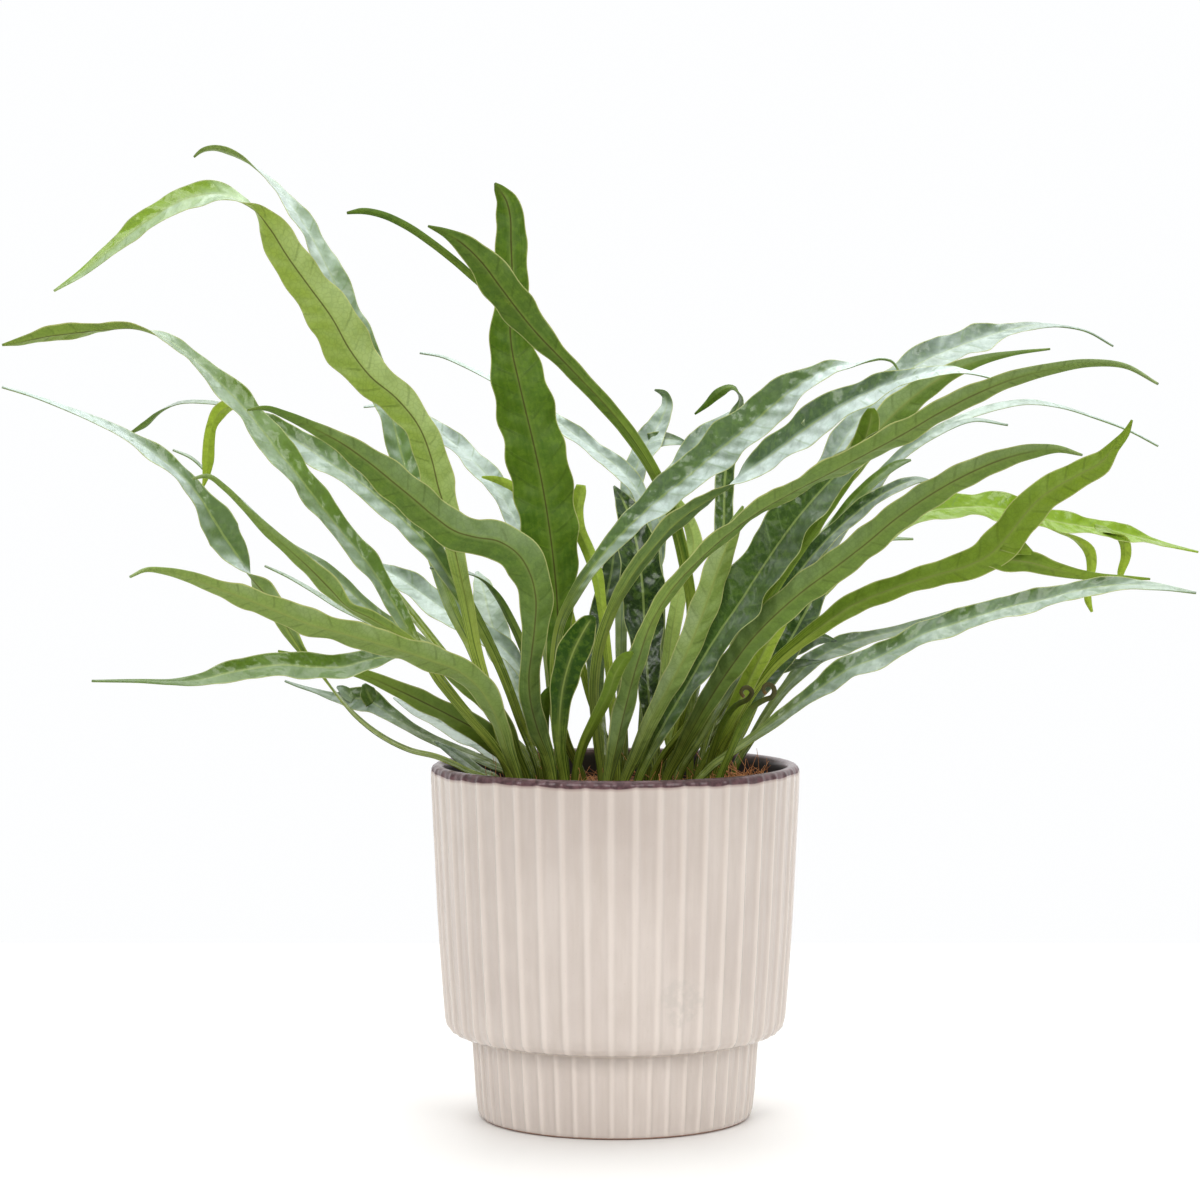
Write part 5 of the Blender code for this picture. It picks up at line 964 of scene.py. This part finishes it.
def pot_piece(material):
    """Turned profile whose radius is cut by flutes: radius minus depth times a wide hollow per rib.

    The hollow is 1 minus the tenth power of the cosine of half the rib's angle, so ribs stay narrow."""
    profile = smooth_profile(POT_OUTSIDE + POT_INSIDE, PROFILE_STEP)
    count = RIB_COUNT * POINTS_PER_RIB
    angle = np.radians(RIB_PHASE_DEG) + np.arange(count) * 2.0 * math.pi / count
    phase = np.arange(count) * math.pi / POINTS_PER_RIB
    hollow = 1.0 - np.cos(phase) ** 10
    dome = 1.0 - 0.18 * np.cos(2.0 * phase) ** 2
    hand = 0.10 * np.sin(3.0 * angle + 0.8) + 0.06 * np.sin(11.0 * angle)
    radius = profile[:, :1] - profile[:, 2:] * (hollow * dome - 0.4 * hand)[None, :]
    z = profile[:, 1:2] + 0.0 * angle[None, :]
    points = np.stack([radius * np.cos(angle), radius * np.sin(angle), z], axis=-1)
    rows = len(profile)
    quads = grid_quads(rows, count, wrap=True)
    crest = np.broadcast_to(1.0 - hollow, (rows, count)) * (profile[:, 2:] > 0.05)
    outer_rows = np.arange(rows)[:, None] < np.argmax(profile[:, 1])
    droop = 1.5 + 0.35 * hollow + 0.25 * np.sin(7.0 * angle + 1.0) + 0.18 * np.sin(23.0 * angle)
    band = np.where(outer_rows, z - (POT_HEIGHT - BAND_WIDTH - droop)[None, :], 3.0)
    inside = np.where(outer_rows, 0.0, 1.0) * np.clip((POT_HEIGHT - 0.6 - z) / 3.0, 0.0, 1.0)
    points = points.reshape(-1, 3)
    bottom = np.array([[0.0, 0.0, POT_UNDERSIDE], [0.0, 0.0, POT_FLOOR]])
    start = len(points)
    ring = np.arange(count)
    last = (rows - 1) * count
    nxt = (ring + 1) % count
    under = np.stack([nxt, ring, np.full(count, start)], axis=1)
    floor = np.stack([last + ring, last + nxt, np.full(count, start + 1)], axis=1)
    traits = {"crest": np.append(crest.ravel(), [0.0, 0.0]), "band": np.append(band.ravel(), [-9.0, 3.0]),
              "inside": np.append(inside.ravel(), [0.0, 1.0])}
    piece = surface_mesh("pot_glazed", np.vstack([points, bottom]), quads, None, traits, (material,))
    add_triangles(piece, np.concatenate([under, floor]))
    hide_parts("pot")
    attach(piece, "root")


def add_triangles(piece, triangles):
    """Add triangles on a mesh's own points, such as the fans that close its two ends."""
    mesh = piece.data
    corners = len(mesh.loops)
    faces = len(mesh.polygons)
    mesh.loops.add(triangles.size)
    mesh.polygons.add(len(triangles))
    index = np.zeros(len(mesh.loops), dtype=np.int32)
    mesh.loops.foreach_get("vertex_index", index)
    index[corners:] = triangles.ravel()
    mesh.loops.foreach_set("vertex_index", index)
    start = np.zeros(len(mesh.polygons), dtype=np.int32)
    mesh.polygons.foreach_get("loop_start", start)
    start[faces:] = corners + 3 * np.arange(len(triangles))
    mesh.polygons.foreach_set("loop_start", start)
    mesh.polygons.foreach_set("use_smooth", np.append(np.ones(faces, bool), np.zeros(len(triangles), bool)))
    mesh.update(calc_edges=True)
    mesh.validate()


def soil_piece(material):
    """Crumbly top of the coir mix over the whole width, closed below by a plain disc.

    Its height is a sum of sines of many directions, lower towards the wall."""
    rings, spokes = BED_RINGS, BED_SPOKES
    share = np.linspace(0.02, 1.0, rings)[:, None]
    angle = np.arange(spokes)[None, :] * 2.0 * math.pi / spokes
    radius = BED_RADIUS * share + 0.0 * angle
    x = radius * np.cos(angle)
    y = radius * np.sin(angle)
    draw = np.random.default_rng(7)
    rough = np.zeros_like(x)
    for size in BED_BUMPS:
        for _ in range(7):
            turn, lag = draw.uniform(0.0, 2.0 * math.pi, 2)
            across = x * np.cos(turn) + y * np.sin(turn)
            rough += 0.028 * size * np.sin(2.0 * math.pi * across / size + lag)
    top = SOIL_TOP - 0.9 + np.clip(rough, -1.6, 0.8) - 0.8 * share ** 6
    points = np.stack([x, y, top], axis=-1).reshape(-1, 3)
    low = np.stack([x[-1], y[-1], np.full(spokes, SOIL_TOP - BED_DEPTH)], axis=-1)
    ends = np.array([[0.0, 0.0, SOIL_TOP - 1.0], [0.0, 0.0, SOIL_TOP - BED_DEPTH]])
    quads = grid_quads(rings + 1, spokes, wrap=True)[:, ::-1]
    points = np.vstack([points, low, ends])
    ring = np.arange(spokes)
    nxt = (ring + 1) % spokes
    middle = (rings + 1) * spokes
    upper_fan = np.stack([ring, nxt, np.full(spokes, middle)], axis=1)
    lower_fan = np.stack([rings * spokes + nxt, rings * spokes + ring, np.full(spokes, middle + 1)], axis=1)
    piece = surface_mesh("coir_bed", points, quads, None, None, (material,))
    add_triangles(piece, np.concatenate([upper_fan, lower_fan]))
    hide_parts("soil")
    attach(piece, "root")


def fibre_tubes(name, starts, headings, lengths, bends, radius, material):
    """Loose fibres: each a four-sided tube along a parabola from its start, sagging by its bend."""
    count = len(starts)
    steps = np.linspace(0.0, 1.0, FIBRE_STEPS)
    path = starts[:, None, :] + headings[:, None, :] * (lengths[:, None] * steps[None, :])[:, :, None]
    path = path + bends[:, None, :] * (steps ** 2)[None, :, None]
    tangent = unit(np.gradient(path, axis=1))
    side = unit(np.cross(tangent, np.array([0.31, 0.52, 0.79])))
    other = np.cross(tangent, side)
    turn = (np.arange(FIBRE_SIDES) * 2.0 * math.pi / FIBRE_SIDES)[None, None, :, None]
    ring = side[:, :, None, :] * np.cos(turn) + other[:, :, None, :] * np.sin(turn)
    thin = radius * (1.0 - 0.6 * steps)[None, :, None, None]
    points = (path[:, :, None, :] + ring * thin).reshape(-1, 3)
    in_one = FIBRE_STEPS * FIBRE_SIDES
    first_ring = np.arange(FIBRE_SIDES)
    ends = np.stack([first_ring[::-1], in_one - FIBRE_SIDES + first_ring])
    one = np.concatenate([grid_quads(FIBRE_STEPS, FIBRE_SIDES, wrap=True), ends])
    quads = (one[None, :, :] + (in_one * np.arange(count))[:, None, None]).reshape(-1, 4)
    tint = np.repeat(np.random.default_rng(3).uniform(0.0, 1.0, count), in_one)
    piece = surface_mesh(name, points, quads, None, {"tint": tint}, (material,))
    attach(piece, "root")


def lying_fibres(draw, material):
    """Coir fibres that lie on the bed, all over it."""
    count = LYING_FIBRES
    turn = draw.uniform(0.0, 2.0 * math.pi, count)
    far = 60.0 * np.sqrt(draw.uniform(0.0, 1.0, count))
    height = SOIL_TOP - 0.9 + draw.uniform(-0.4, 1.2, count)
    starts = np.stack([far * np.cos(turn), far * np.sin(turn), height], axis=1)
    flat = draw.normal(0.0, 1.0, (count, 3)) * np.array([1.0, 1.0, 0.22])
    heading = unit(flat + np.array([0.0, 0.0, 0.12]))
    length = draw.uniform(4.0, 13.0, count)
    reach = np.hypot(*(starts + heading * length[:, None])[:, :2].T)
    bend = draw.normal(0.0, 1.6, (count, 3)) * np.array([1.0, 1.0, 0.35])
    kept = reach < LYING_REACH
    fibres = starts[kept], heading[kept], length[kept], bend[kept]
    fibre_tubes("coir_fibres", *fibres, LYING_RADIUS, material)


def standing_fibres(draw, feet, material):
    """Coir fibres that stand up between the stems, and a heap of them behind the rim on the right."""
    tall, heaped = STANDING_FIBRES, HEAPED_FIBRES
    count = tall + heaped
    pick = draw.integers(0, len(feet), tall)
    near = feet[pick] + draw.uniform(-7.0, 7.0, (tall, 2))
    heap = np.array(COIR_HEAP) + draw.normal(0.0, 1.0, (heaped, 2)) * np.array([5.0, 7.0])
    low = np.concatenate([np.full(tall, -0.8), draw.uniform(-0.8, 5.0, heaped)])
    starts = np.column_stack([np.concatenate([near, heap]), SOIL_TOP + low])
    standing = np.arange(count)[:, None] < tall
    spread = np.where(standing, np.array([0.7, 0.7, 0.2]), np.array([1.0, 1.0, 0.3]))
    rise = np.where(standing, 1.1, 0.55) * np.array([0.0, 0.0, 1.0])
    heading = unit(draw.normal(0.0, 1.0, (count, 3)) * spread + rise)
    length = draw.uniform(4.0, 16.0, count)
    bend = draw.normal(0.0, 1.8, (count, 3))
    ends = starts + heading * length[:, None] + bend
    kept = np.hypot(ends[:, 0], ends[:, 1]) < STANDING_REACH
    fibres = starts[kept], heading[kept], length[kept], bend[kept]
    fibre_tubes("coir_tufts", *fibres, STANDING_RADIUS, material)


def srgb(red, green, blue):
    """Linear colour, with alpha, of an sRGB colour given from 0 to 255."""
    values = np.array([red, green, blue]) / 255.0
    linear = np.where(values <= 0.04045, values / 12.92, ((values + 0.055) / 1.055) ** 2.4)
    return (*[float(v) for v in linear], 1.0)


class Finish:
    """A material being made: short calls that add a node, set or link its inputs and give its output."""

    def __init__(self, name):
        self.material = bpy.data.materials.new(name)
        self.material.use_nodes = True
        self.nodes = self.material.node_tree.nodes
        self.shader = self.nodes["Principled BSDF"]

    def link(self, value, socket):
        """Join an output to a socket, or set the socket to a number or colour."""
        if isinstance(value, bpy.types.NodeSocket):
            self.material.node_tree.links.new(value, socket)
        else:
            socket.default_value = value

    def values(self, name):
        """Values of a named point attribute."""
        made = self.nodes.new("ShaderNodeAttribute")
        made.attribute_name = name
        return made.outputs["Fac"]

    def place(self):
        """Place on the object, in metres."""
        return self.nodes.new("ShaderNodeTexCoord").outputs["Object"]

    def blade_place(self):
        """Place across the blade from 0 to 1, and along it in centimetres."""
        made = self.nodes.new("ShaderNodeUVMap")
        made.uv_map = "along"
        return made.outputs[0]

    def sums(self, operation, first, second=0.0):
        """One arithmetic step on numbers or outputs."""
        made = self.nodes.new("ShaderNodeMath")
        made.operation = operation
        for value, socket in zip((first, second), made.inputs):
            self.link(value, socket)
        return made.outputs[0]

    def times(self, first, second):
        """Product of two numbers or outputs."""
        return self.sums("MULTIPLY", first, second)

    def ramp(self, value, low, high, start=0.0, end=1.0):
        """Smooth step of a value from low to high."""
        made = self.nodes.new("ShaderNodeMapRange")
        made.interpolation_type = "SMOOTHSTEP"
        self.link(value, made.inputs["Value"])
        made.inputs["From Min"].default_value = low
        made.inputs["From Max"].default_value = high
        made.inputs["To Min"].default_value = start
        made.inputs["To Max"].default_value = end
        return made.outputs["Result"]

    def noise(self, scale, detail=3.0, roughness=0.55, vector=None, stretch=None):
        """Soft random values, on the object's place unless another is given, stretched if wanted."""
        made = self.nodes.new("ShaderNodeTexNoise")
        made.inputs["Scale"].default_value = scale
        made.inputs["Detail"].default_value = detail
        made.inputs["Roughness"].default_value = roughness
        vector = vector or self.place()
        if stretch:
            turn = self.nodes.new("ShaderNodeMapping")
            turn.inputs["Scale"].default_value = stretch
            self.link(vector, turn.inputs["Vector"])
            vector = turn.outputs[0]
        self.link(vector, made.inputs["Vector"])
        return made.outputs["Fac"]

    def streaks(self):
        """Fine lines that run along a blade."""
        return self.noise(1.0, 3.0, 0.6, self.blade_place(), (15.0, 2.2, 1.0))

    def part_of(self, vector, axis):
        """One of a vector's three numbers."""
        parts = self.nodes.new("ShaderNodeSeparateXYZ")
        self.link(vector, parts.inputs[0])
        return parts.outputs[axis]

    def low(self):
        """How near the soil a point is, for the painted shade on the stalks' feet."""
        return self.ramp(self.part_of(self.place(), 2), 0.12, 0.2, 0.5, 0.0)

    def cells(self, scale):
        """Distance to the edge of small random cells."""
        made = self.nodes.new("ShaderNodeTexVoronoi")
        made.feature = "DISTANCE_TO_EDGE"
        made.inputs["Scale"].default_value = scale
        self.link(self.place(), made.inputs["Vector"])
        return made.outputs["Distance"]

    def mix(self, amount, first, second):
        """Colour from the first to the second as the amount grows."""
        made = self.nodes.new("ShaderNodeMix")
        made.data_type = "RGBA"
        self.link(amount, made.inputs["Factor"])
        self.link(first, made.inputs[6])
        self.link(second, made.inputs[7])
        return made.outputs[2]

    def blend(self, share, tones):
        """Colour between two tones given in sRGB from 0 to 255."""
        return self.mix(share, srgb(*tones[0]), srgb(*tones[1]))

    def over(self, ground, tint, mask, share=1.0):
        """Tint laid over a colour where the mask is high, and there by its share."""
        amount = mask if share == 1.0 else self.times(mask, share)
        return self.mix(amount, ground, srgb(*tint))

    def bump(self, height, strength, distance, normal=None):
        """Normal bent by a height, on top of another normal if given."""
        made = self.nodes.new("ShaderNodeBump")
        made.inputs["Strength"].default_value = strength
        made.inputs["Distance"].default_value = distance
        self.link(height, made.inputs["Height"])
        if normal is not None:
            self.link(normal, made.inputs["Normal"])
        return made.outputs["Normal"]

    def set(self, **inputs):
        """Set or link the shader's inputs, named with underscores for spaces."""
        for name, value in inputs.items():
            self.link(value, self.shader.inputs[name.replace("_", " ")])


def leaf_lines(finish):
    """Place on a blade: mm from the midrib and from the edge, share of the half width, and veins' wave."""
    half = finish.values("half_width")
    across = finish.times(finish.part_of(finish.blade_place(), 0), 2.0)
    far = finish.sums("ABSOLUTE", finish.sums("SUBTRACT", across, 1.0))
    from_rib = finish.times(far, half)
    from_edge = finish.sums("SUBTRACT", half, from_rib)
    wave = finish.sums("SINE", finish.times(finish.values("vein"), 2.0 * math.pi))
    return from_rib, from_edge, far, wave


def youth_and_backlight_share(finish):
    """Share of youthful yellow-green, which grows towards the frond's end; partly painted backlight on
    frond_bright_arch.
    """
    return finish.times(finish.values("young"), finish.ramp(finish.values("outward"), 0.0, 1.0, 0.75, 1.2))


def fleck(finish):
    """Fine pale flecks of the leaf's tissue."""
    return finish.noise(420.0, 2.5, 0.6)


def browned(finish, green, scale):
    """Brown spots and withered tips, as far as the frond's browning goes."""
    brown = finish.values("brown")
    spots = finish.times(finish.ramp(finish.noise(scale, 4.0, 0.7), 0.6, 0.75), brown)
    green = finish.over(green, SPOT_BROWN, spots, 0.6)
    far_out = finish.ramp(finish.values("outward"), 0.6, 0.9)
    green = finish.over(green, WITHERED_BROWN, finish.times(finish.ramp(brown, 0.4, 0.8), far_out))
    reach = finish.sums("ADD", finish.values("tip"), finish.times(finish.noise(*GRAIN_NOISE), 0.3))
    return finish.over(green, TIP_BROWN, finish.times(finish.ramp(reach, 0.95, 1.2), brown))


def leaf_ends(finish, green, from_edge, broad, margin_green, spot_scale):
    """Pale margin, streaked stalk, browned spots and tip, and painted shade on the foot, alike on both sides
    of a leaf.
    """
    margin = finish.times(finish.ramp(from_edge, 0.15, 0.5, 1.0, 0.0), broad)
    green = finish.over(green, margin_green, margin, 0.8)
    streak = finish.blend(finish.ramp(finish.streaks(), 0.4, 0.58), STALK_GREENS)
    green = finish.mix(finish.times(finish.values("stalk"), 0.9), green, streak)
    green = browned(finish, green, spot_scale)
    # Painted shade, darker towards the soil
    return finish.over(green, FOOT_SHADE_GREEN, finish.low())


def vein_lines(finish, wave, far, wave_from, far_from, far_to, noise_scale):
    """Side veins that fade near the midrib and, in patches, altogether."""
    worn = finish.ramp(finish.noise(noise_scale, 2.0), 0.35, 0.6)
    lines = finish.times(finish.ramp(wave, wave_from, 1.0), finish.ramp(far, far_from, far_to))
    return finish.times(lines, worn)


def net_lines(finish, scale, thick):
    """Fine net of veinlets, as the edges of small cells."""
    return finish.ramp(finish.cells(scale), 0.02, thick, 1.0, 0.0)


def leaf_upper_finish():
    """Leathery upper side: dark green under waxy silver and painted sky sheen, yellow-green midrib, thin pale
    margin.
    """
    finish = Finish("leaf_upper")
    from_rib, from_edge, far, wave = leaf_lines(finish)
    broad = finish.ramp(finish.values("half_width"), 1.6, 4.0)
    green = finish.blend(finish.ramp(finish.noise(70.0, 4.0), 0.3, 0.7), UPPER_GREENS)
    green = finish.over(green, UPPER_YOUTH_AND_BACKLIGHT, youth_and_backlight_share(finish))
    green = finish.over(green, UPPER_DEEP, finish.values("deep"), 0.8)
    green = finish.over(green, UPPER_FLECK, finish.ramp(fleck(finish), 0.48, 0.62, 0.0, 0.2))
    fine = finish.times(finish.noise(*GRAIN_NOISE), 0.2)
    mottle = finish.sums("ADD", finish.times(finish.noise(85.0, 4.0, 0.6), 0.8), fine)
    # Painted silver sheen where the blade turns to the sky, over a small even share of silver wax, scaled per
    # frond
    wax_and_sky_sheen = finish.sums("ADD", finish.times(finish.values("skyward"), 1.1), 0.12)
    silver = finish.times(wax_and_sky_sheen, finish.ramp(mottle, 0.38, 0.62, 0.72, 1.05))
    silver = finish.times(silver, finish.values("bloom"))
    green = finish.over(green, SILVER, silver)
    green = finish.over(green, UPPER_NET, net_lines(finish, 430.0, 0.12), 0.10)
    green = finish.over(green, UPPER_VEIN, vein_lines(finish, wave, far, 0.9, 0.05, 0.25, 55.0), 0.35)
    rib = finish.times(finish.ramp(from_rib, 0.28, 0.62, 1.0, 0.0), broad)
    clear_of_wax_and_sheen = finish.sums("SUBTRACT", 0.6, finish.times(silver, 0.5))
    green = finish.over(green, UPPER_RIB, finish.times(rib, clear_of_wax_and_sheen))
    green = leaf_ends(finish, green, from_edge, broad, UPPER_MARGIN, 180.0)
    normal = finish.bump(finish.noise(*SOFT_BUMP_NOISE), 0.7, 0.0012)
    normal = finish.bump(from_rib, 0.3, 0.001, normal)
    finish.set(Base_Color=green, Roughness=finish.ramp(mottle, 0.3, 0.7, 0.42, 0.32), Normal=normal)
    finish.set(IOR=1.25, Coat_Weight=0.65, Coat_Roughness=0.18, Coat_IOR=1.5, Coat_Normal=normal)
    return finish.material


def leaf_under_finish():
    """Matte underside: mid olive green, a brownish raised midrib, side veins and a fine net between them."""
    finish = Finish("leaf_under")
    from_rib, from_edge, far, wave = leaf_lines(finish)
    patches = finish.noise(60.0, 4.0)
    broad = finish.ramp(finish.values("half_width"), 1.6, 4.0)
    green = finish.blend(finish.ramp(patches, 0.3, 0.7), UNDER_GREENS)
    green = finish.over(green, UNDER_YOUTH_AND_BACKLIGHT, youth_and_backlight_share(finish))
    green = finish.over(green, UNDER_STREAK, finish.ramp(finish.streaks(), 0.35, 0.65, 0.0, 0.16))
    green = finish.over(green, UNDER_DEEP, finish.values("deep"), 0.9)
    green = finish.over(green, UNDER_FLECK, finish.ramp(fleck(finish), 0.46, 0.62, 0.0, 0.22))
    # Painted sheen where the underside turns to the sky, over a small even grey share, scaled per frond
    sheen = finish.sums("ADD", finish.times(finish.values("skyward"), 0.75), 0.2)
    green = finish.over(green, UNDER_SHEEN, finish.times(sheen, finish.values("bloom")))
    green = finish.over(green, UNDER_NET, net_lines(finish, 520.0, 0.14), 0.14)
    veins = vein_lines(finish, wave, far, 0.86, 0.04, 0.2, 60.0)
    green = finish.over(green, UNDER_VEIN, veins, 0.24)
    beside = finish.times(finish.ramp(from_rib, 0.4, 1.6, 1.0, 0.0), broad)
    green = finish.over(green, UNDER_BESIDE_RIB, beside, 0.22)
    rib = finish.times(finish.ramp(from_rib, 0.12, 0.42, 1.0, 0.0), broad)
    rib_tone = finish.blend(finish.ramp(finish.values("brown"), 0.03, 0.12), RIB_TONES)
    green = finish.mix(finish.times(rib, 0.75), green, rib_tone)
    green = leaf_ends(finish, green, from_edge, broad, UNDER_MARGIN, 150.0)
    normal = finish.bump(finish.noise(*SOFT_BUMP_NOISE), 0.55, 0.0010)
    normal = finish.bump(finish.times(from_rib, -1.0), 0.3, 0.001, normal)
    normal = finish.bump(veins, 0.35, 0.00022, normal)
    finish.set(Base_Color=green, Roughness=finish.ramp(patches, 0.3, 0.7, 0.6, 0.5), Normal=normal)
    finish.set(IOR=1.2, Coat_Weight=0.25, Coat_Roughness=0.3, Coat_IOR=1.35)
    return finish.material


def pot_finish():
    """Warm grey-beige glaze, pinkish where it thins on the ribs' crests, pooled darker in the flutes,

    with a purple-brown band where it breaks over the rim, a dark inside and a bare brown line at the foot."""
    finish = Finish("pot_glaze")
    band = finish.values("band")
    height = finish.part_of(finish.place(), 2)
    soft = finish.noise(22.0, 3.0)
    streak = finish.noise(260.0, 4.0, 0.6, stretch=(1.0, 1.0, 0.12))
    glaze = finish.blend(finish.ramp(soft, 0.3, 0.7), GLAZE_TONES)
    glaze = finish.over(glaze, GLAZE_STREAK, finish.ramp(streak, 0.35, 0.7), 0.35)
    glaze = finish.over(glaze, GLAZE_CREST, finish.ramp(finish.values("crest"), 0.0, 0.9), 0.5)
    specks = finish.ramp(finish.noise(1400.0, 2.0, 0.6), 0.67, 0.74)
    glaze = finish.over(glaze, GLAZE_SPECK, specks, 0.16)
    glaze = finish.over(glaze, GLAZE_SMUDGE, smudge_mask(finish), 0.28)
    shoulder = finish.ramp(height, 0.0312, 0.0335, 1.0, 0.0)
    shoulder = finish.times(shoulder, finish.ramp(height, 0.0298, 0.0312))
    glaze = finish.over(glaze, GLAZE_SHOULDER, shoulder, 0.35)
    glaze = finish.over(glaze, GLAZE_THIN, finish.ramp(band, -1.1, 0.15), 0.55)
    wine = finish.blend(finish.ramp(finish.noise(420.0, 3.0), 0.3, 0.7), RIM_TONES)
    glaze = finish.mix(finish.ramp(band, -0.15, 0.45), glaze, wine)
    glaze = finish.over(glaze, POT_INNER, finish.ramp(finish.values("inside"), 0.1, 0.8))
    uneven = finish.times(finish.sums("SUBTRACT", streak, 0.5), 0.0006)
    bare = finish.ramp(finish.sums("ADD", height, uneven), 0.0004, 0.0011, 1.0, 0.0)
    glaze = finish.over(glaze, BARE_CLAY, bare, 0.85)
    normal = finish.bump(soft, 0.25, 0.0016)
    normal = finish.bump(finish.noise(900.0, 2.0, 0.5), 0.10, 0.00035, normal)
    rough = finish.sums("ADD", finish.ramp(streak, 0.3, 0.7, 0.16, 0.22), finish.times(bare, 0.5))
    rough = finish.sums("ADD", rough, finish.ramp(band, -0.3, 0.4, 0.0, 0.3))
    finish.set(Base_Color=glaze, Roughness=rough, Normal=normal)
    finish.set(IOR=1.52, Coat_Weight=0.4, Coat_Roughness=0.12, Coat_IOR=1.5)
    return finish.material


def smudge_mask(finish):
    """Faint grey patch low on the pot's front right, its edge broken by noise."""
    move = finish.nodes.new("ShaderNodeVectorMath")
    move.operation = "DISTANCE"
    finish.link(finish.place(), move.inputs[0])
    move.inputs[1].default_value = SMUDGE_PLACE
    torn = finish.times(finish.sums("SUBTRACT", finish.noise(150.0, 5.0, 0.65), 0.5), 0.016)
    reach = finish.sums("ADD", move.outputs["Value"], torn)
    cloudy = finish.ramp(finish.noise(330.0, 4.0), 0.35, 0.6)
    return finish.times(finish.ramp(reach, 0.0065, 0.0105, 1.0, 0.0), cloudy)


def coir_finish(name, tones):
    """Brown coir: two browns split by fine noise and, on loose fibres, by each fibre's own tint."""
    finish = Finish(name)
    share = finish.ramp(finish.noise(520.0, 5.0, 0.7), 0.3, 0.7)
    if name == "coir_fibre":
        share = finish.sums("ADD", finish.times(share, 0.4), finish.times(finish.values("tint"), 0.6))
    normal = finish.bump(finish.noise(900.0, 5.0, 0.7), 0.8, 0.0012)
    rough = finish.ramp(finish.noise(300.0, 2.0), 0.3, 0.7, 0.95, 0.8)
    finish.set(Base_Color=finish.blend(share, tones), Roughness=rough, Normal=normal)
    return finish.material


def table_finish():
    """Plain near-white table top, with the faintest unevenness."""
    finish = Finish("table_white")
    finish.set(Base_Color=finish.mix(finish.noise(3.0, 2.0), *TABLE_TONES), Roughness=0.6)
    return finish.material


def studio_sky(scene):
    """Sky that is white where the camera sees it and lights the plant more from behind and above."""
    world = bpy.data.worlds.new("studio_sky")
    scene.world = world
    world.use_nodes = True
    nodes, links = world.node_tree.nodes, world.node_tree.links
    parts = nodes.new("ShaderNodeSeparateXYZ")
    links.new(nodes.new("ShaderNodeTexCoord").outputs["Generated"], parts.inputs[0])
    total = nodes.new("ShaderNodeMath")
    for share, (axis, span) in enumerate(SKY_SHARES):
        shade = nodes.new("ShaderNodeMapRange")
        shade.interpolation_type = "SMOOTHSTEP"
        for name, value in zip(("From Min", "From Max", "To Min", "To Max"), span):
            shade.inputs[name].default_value = value
        links.new(parts.outputs[axis], shade.inputs["Value"])
        links.new(shade.outputs[0], total.inputs[share])
    seen = nodes.new("ShaderNodeMix")
    links.new(nodes.new("ShaderNodeLightPath").outputs["Is Camera Ray"], seen.inputs["Factor"])
    links.new(total.outputs[0], seen.inputs["A"])
    seen.inputs["B"].default_value = 1.0
    links.new(seen.outputs["Result"], nodes["Background"].inputs["Strength"])
    nodes["Background"].inputs["Color"].default_value = SKY_COLOUR


def studio():
    """White table, soft sky and lamps, and the camera, as in the photograph."""
    scene = bpy.context.scene
    scene.view_settings.view_transform = "Standard"
    scene.view_settings.look = "None"
    scene.view_settings.gamma = VIEW_GAMMA
    studio_sky(scene)
    across = np.linspace(-0.5 * TABLE_WIDTH, 0.5 * TABLE_WIDTH, TABLE_COLUMNS)
    along = np.linspace(-0.5 * TABLE_DEPTH, 0.5 * TABLE_DEPTH, TABLE_ROWS)
    x, y = np.meshgrid(across, along)
    points = np.stack([x, y, np.zeros_like(x)], axis=-1).reshape(-1, 3)
    quads = grid_quads(TABLE_ROWS, TABLE_COLUMNS)
    table = surface_mesh("table_top", points, quads, None, None, (table_finish(),))
    for name, power, size, place, aim in LAMPS:
        lamp = bpy.data.lights.new(name, "AREA")
        lamp.shape = "RECTANGLE"
        lamp.size, lamp.size_y = size
        lamp.energy = power
        held = bpy.data.objects.new(name, lamp)
        held.location = place
        held.rotation_euler = (Vector(aim) - Vector(place)).to_track_quat("-Z", "Y").to_euler()
        scene.collection.objects.link(held)
    eye = bpy.data.cameras.new("camera")
    eye.sensor_width = SENSOR_MM
    eye.lens = FOCAL_PX / PHOTO_SIZE_PX * SENSOR_MM
    eye.clip_start = 0.05
    holder = bpy.data.objects.new("camera", eye)
    holder.location = (CAMERA_X * MM, CAMERA_Y * MM, CAMERA_Z * MM)
    holder.rotation_euler = (0.5 * math.pi - CAMERA_PITCH, 0.0, 0.0)
    scene.collection.objects.link(holder)
    scene.camera = holder


def main():
    """Build the fern from its tables, then the pot, the bed, the fibres and the studio."""
    rows = LEFT_FRONDS + MIDDLE_FRONDS + RIGHT_FRONDS
    starts = np.array([[seen_at(row[3][0][0], row[3][0][1], row[1])[0], row[1]] for row in rows])
    feet = spread_feet(starts)
    ribbons = [frond_ribbon(row, foot) for row, foot in zip(rows, feet)]
    clear_fronds(ribbons)
    leaf = (leaf_upper_finish(), leaf_under_finish())
    by_name = {ribbon.name: ribbon for ribbon in ribbons}
    for ribbon in ribbons:
        lobes = [lobe_ribbon(by_name[row[0]], row) for row in LOBES if row[0] == ribbon.name]
        frond_piece(ribbon, lobes, LOOKS[ribbon.name], leaf)
    pot_piece(pot_finish())
    soil_piece(coir_finish("coir_mix", BED_TONES))
    fibre = coir_finish("coir_fibre", FIBRE_TONES)
    draw = np.random.default_rng(21)
    lying_fibres(draw, fibre)
    standing_fibres(draw, feet, fibre)
    studio()


main()
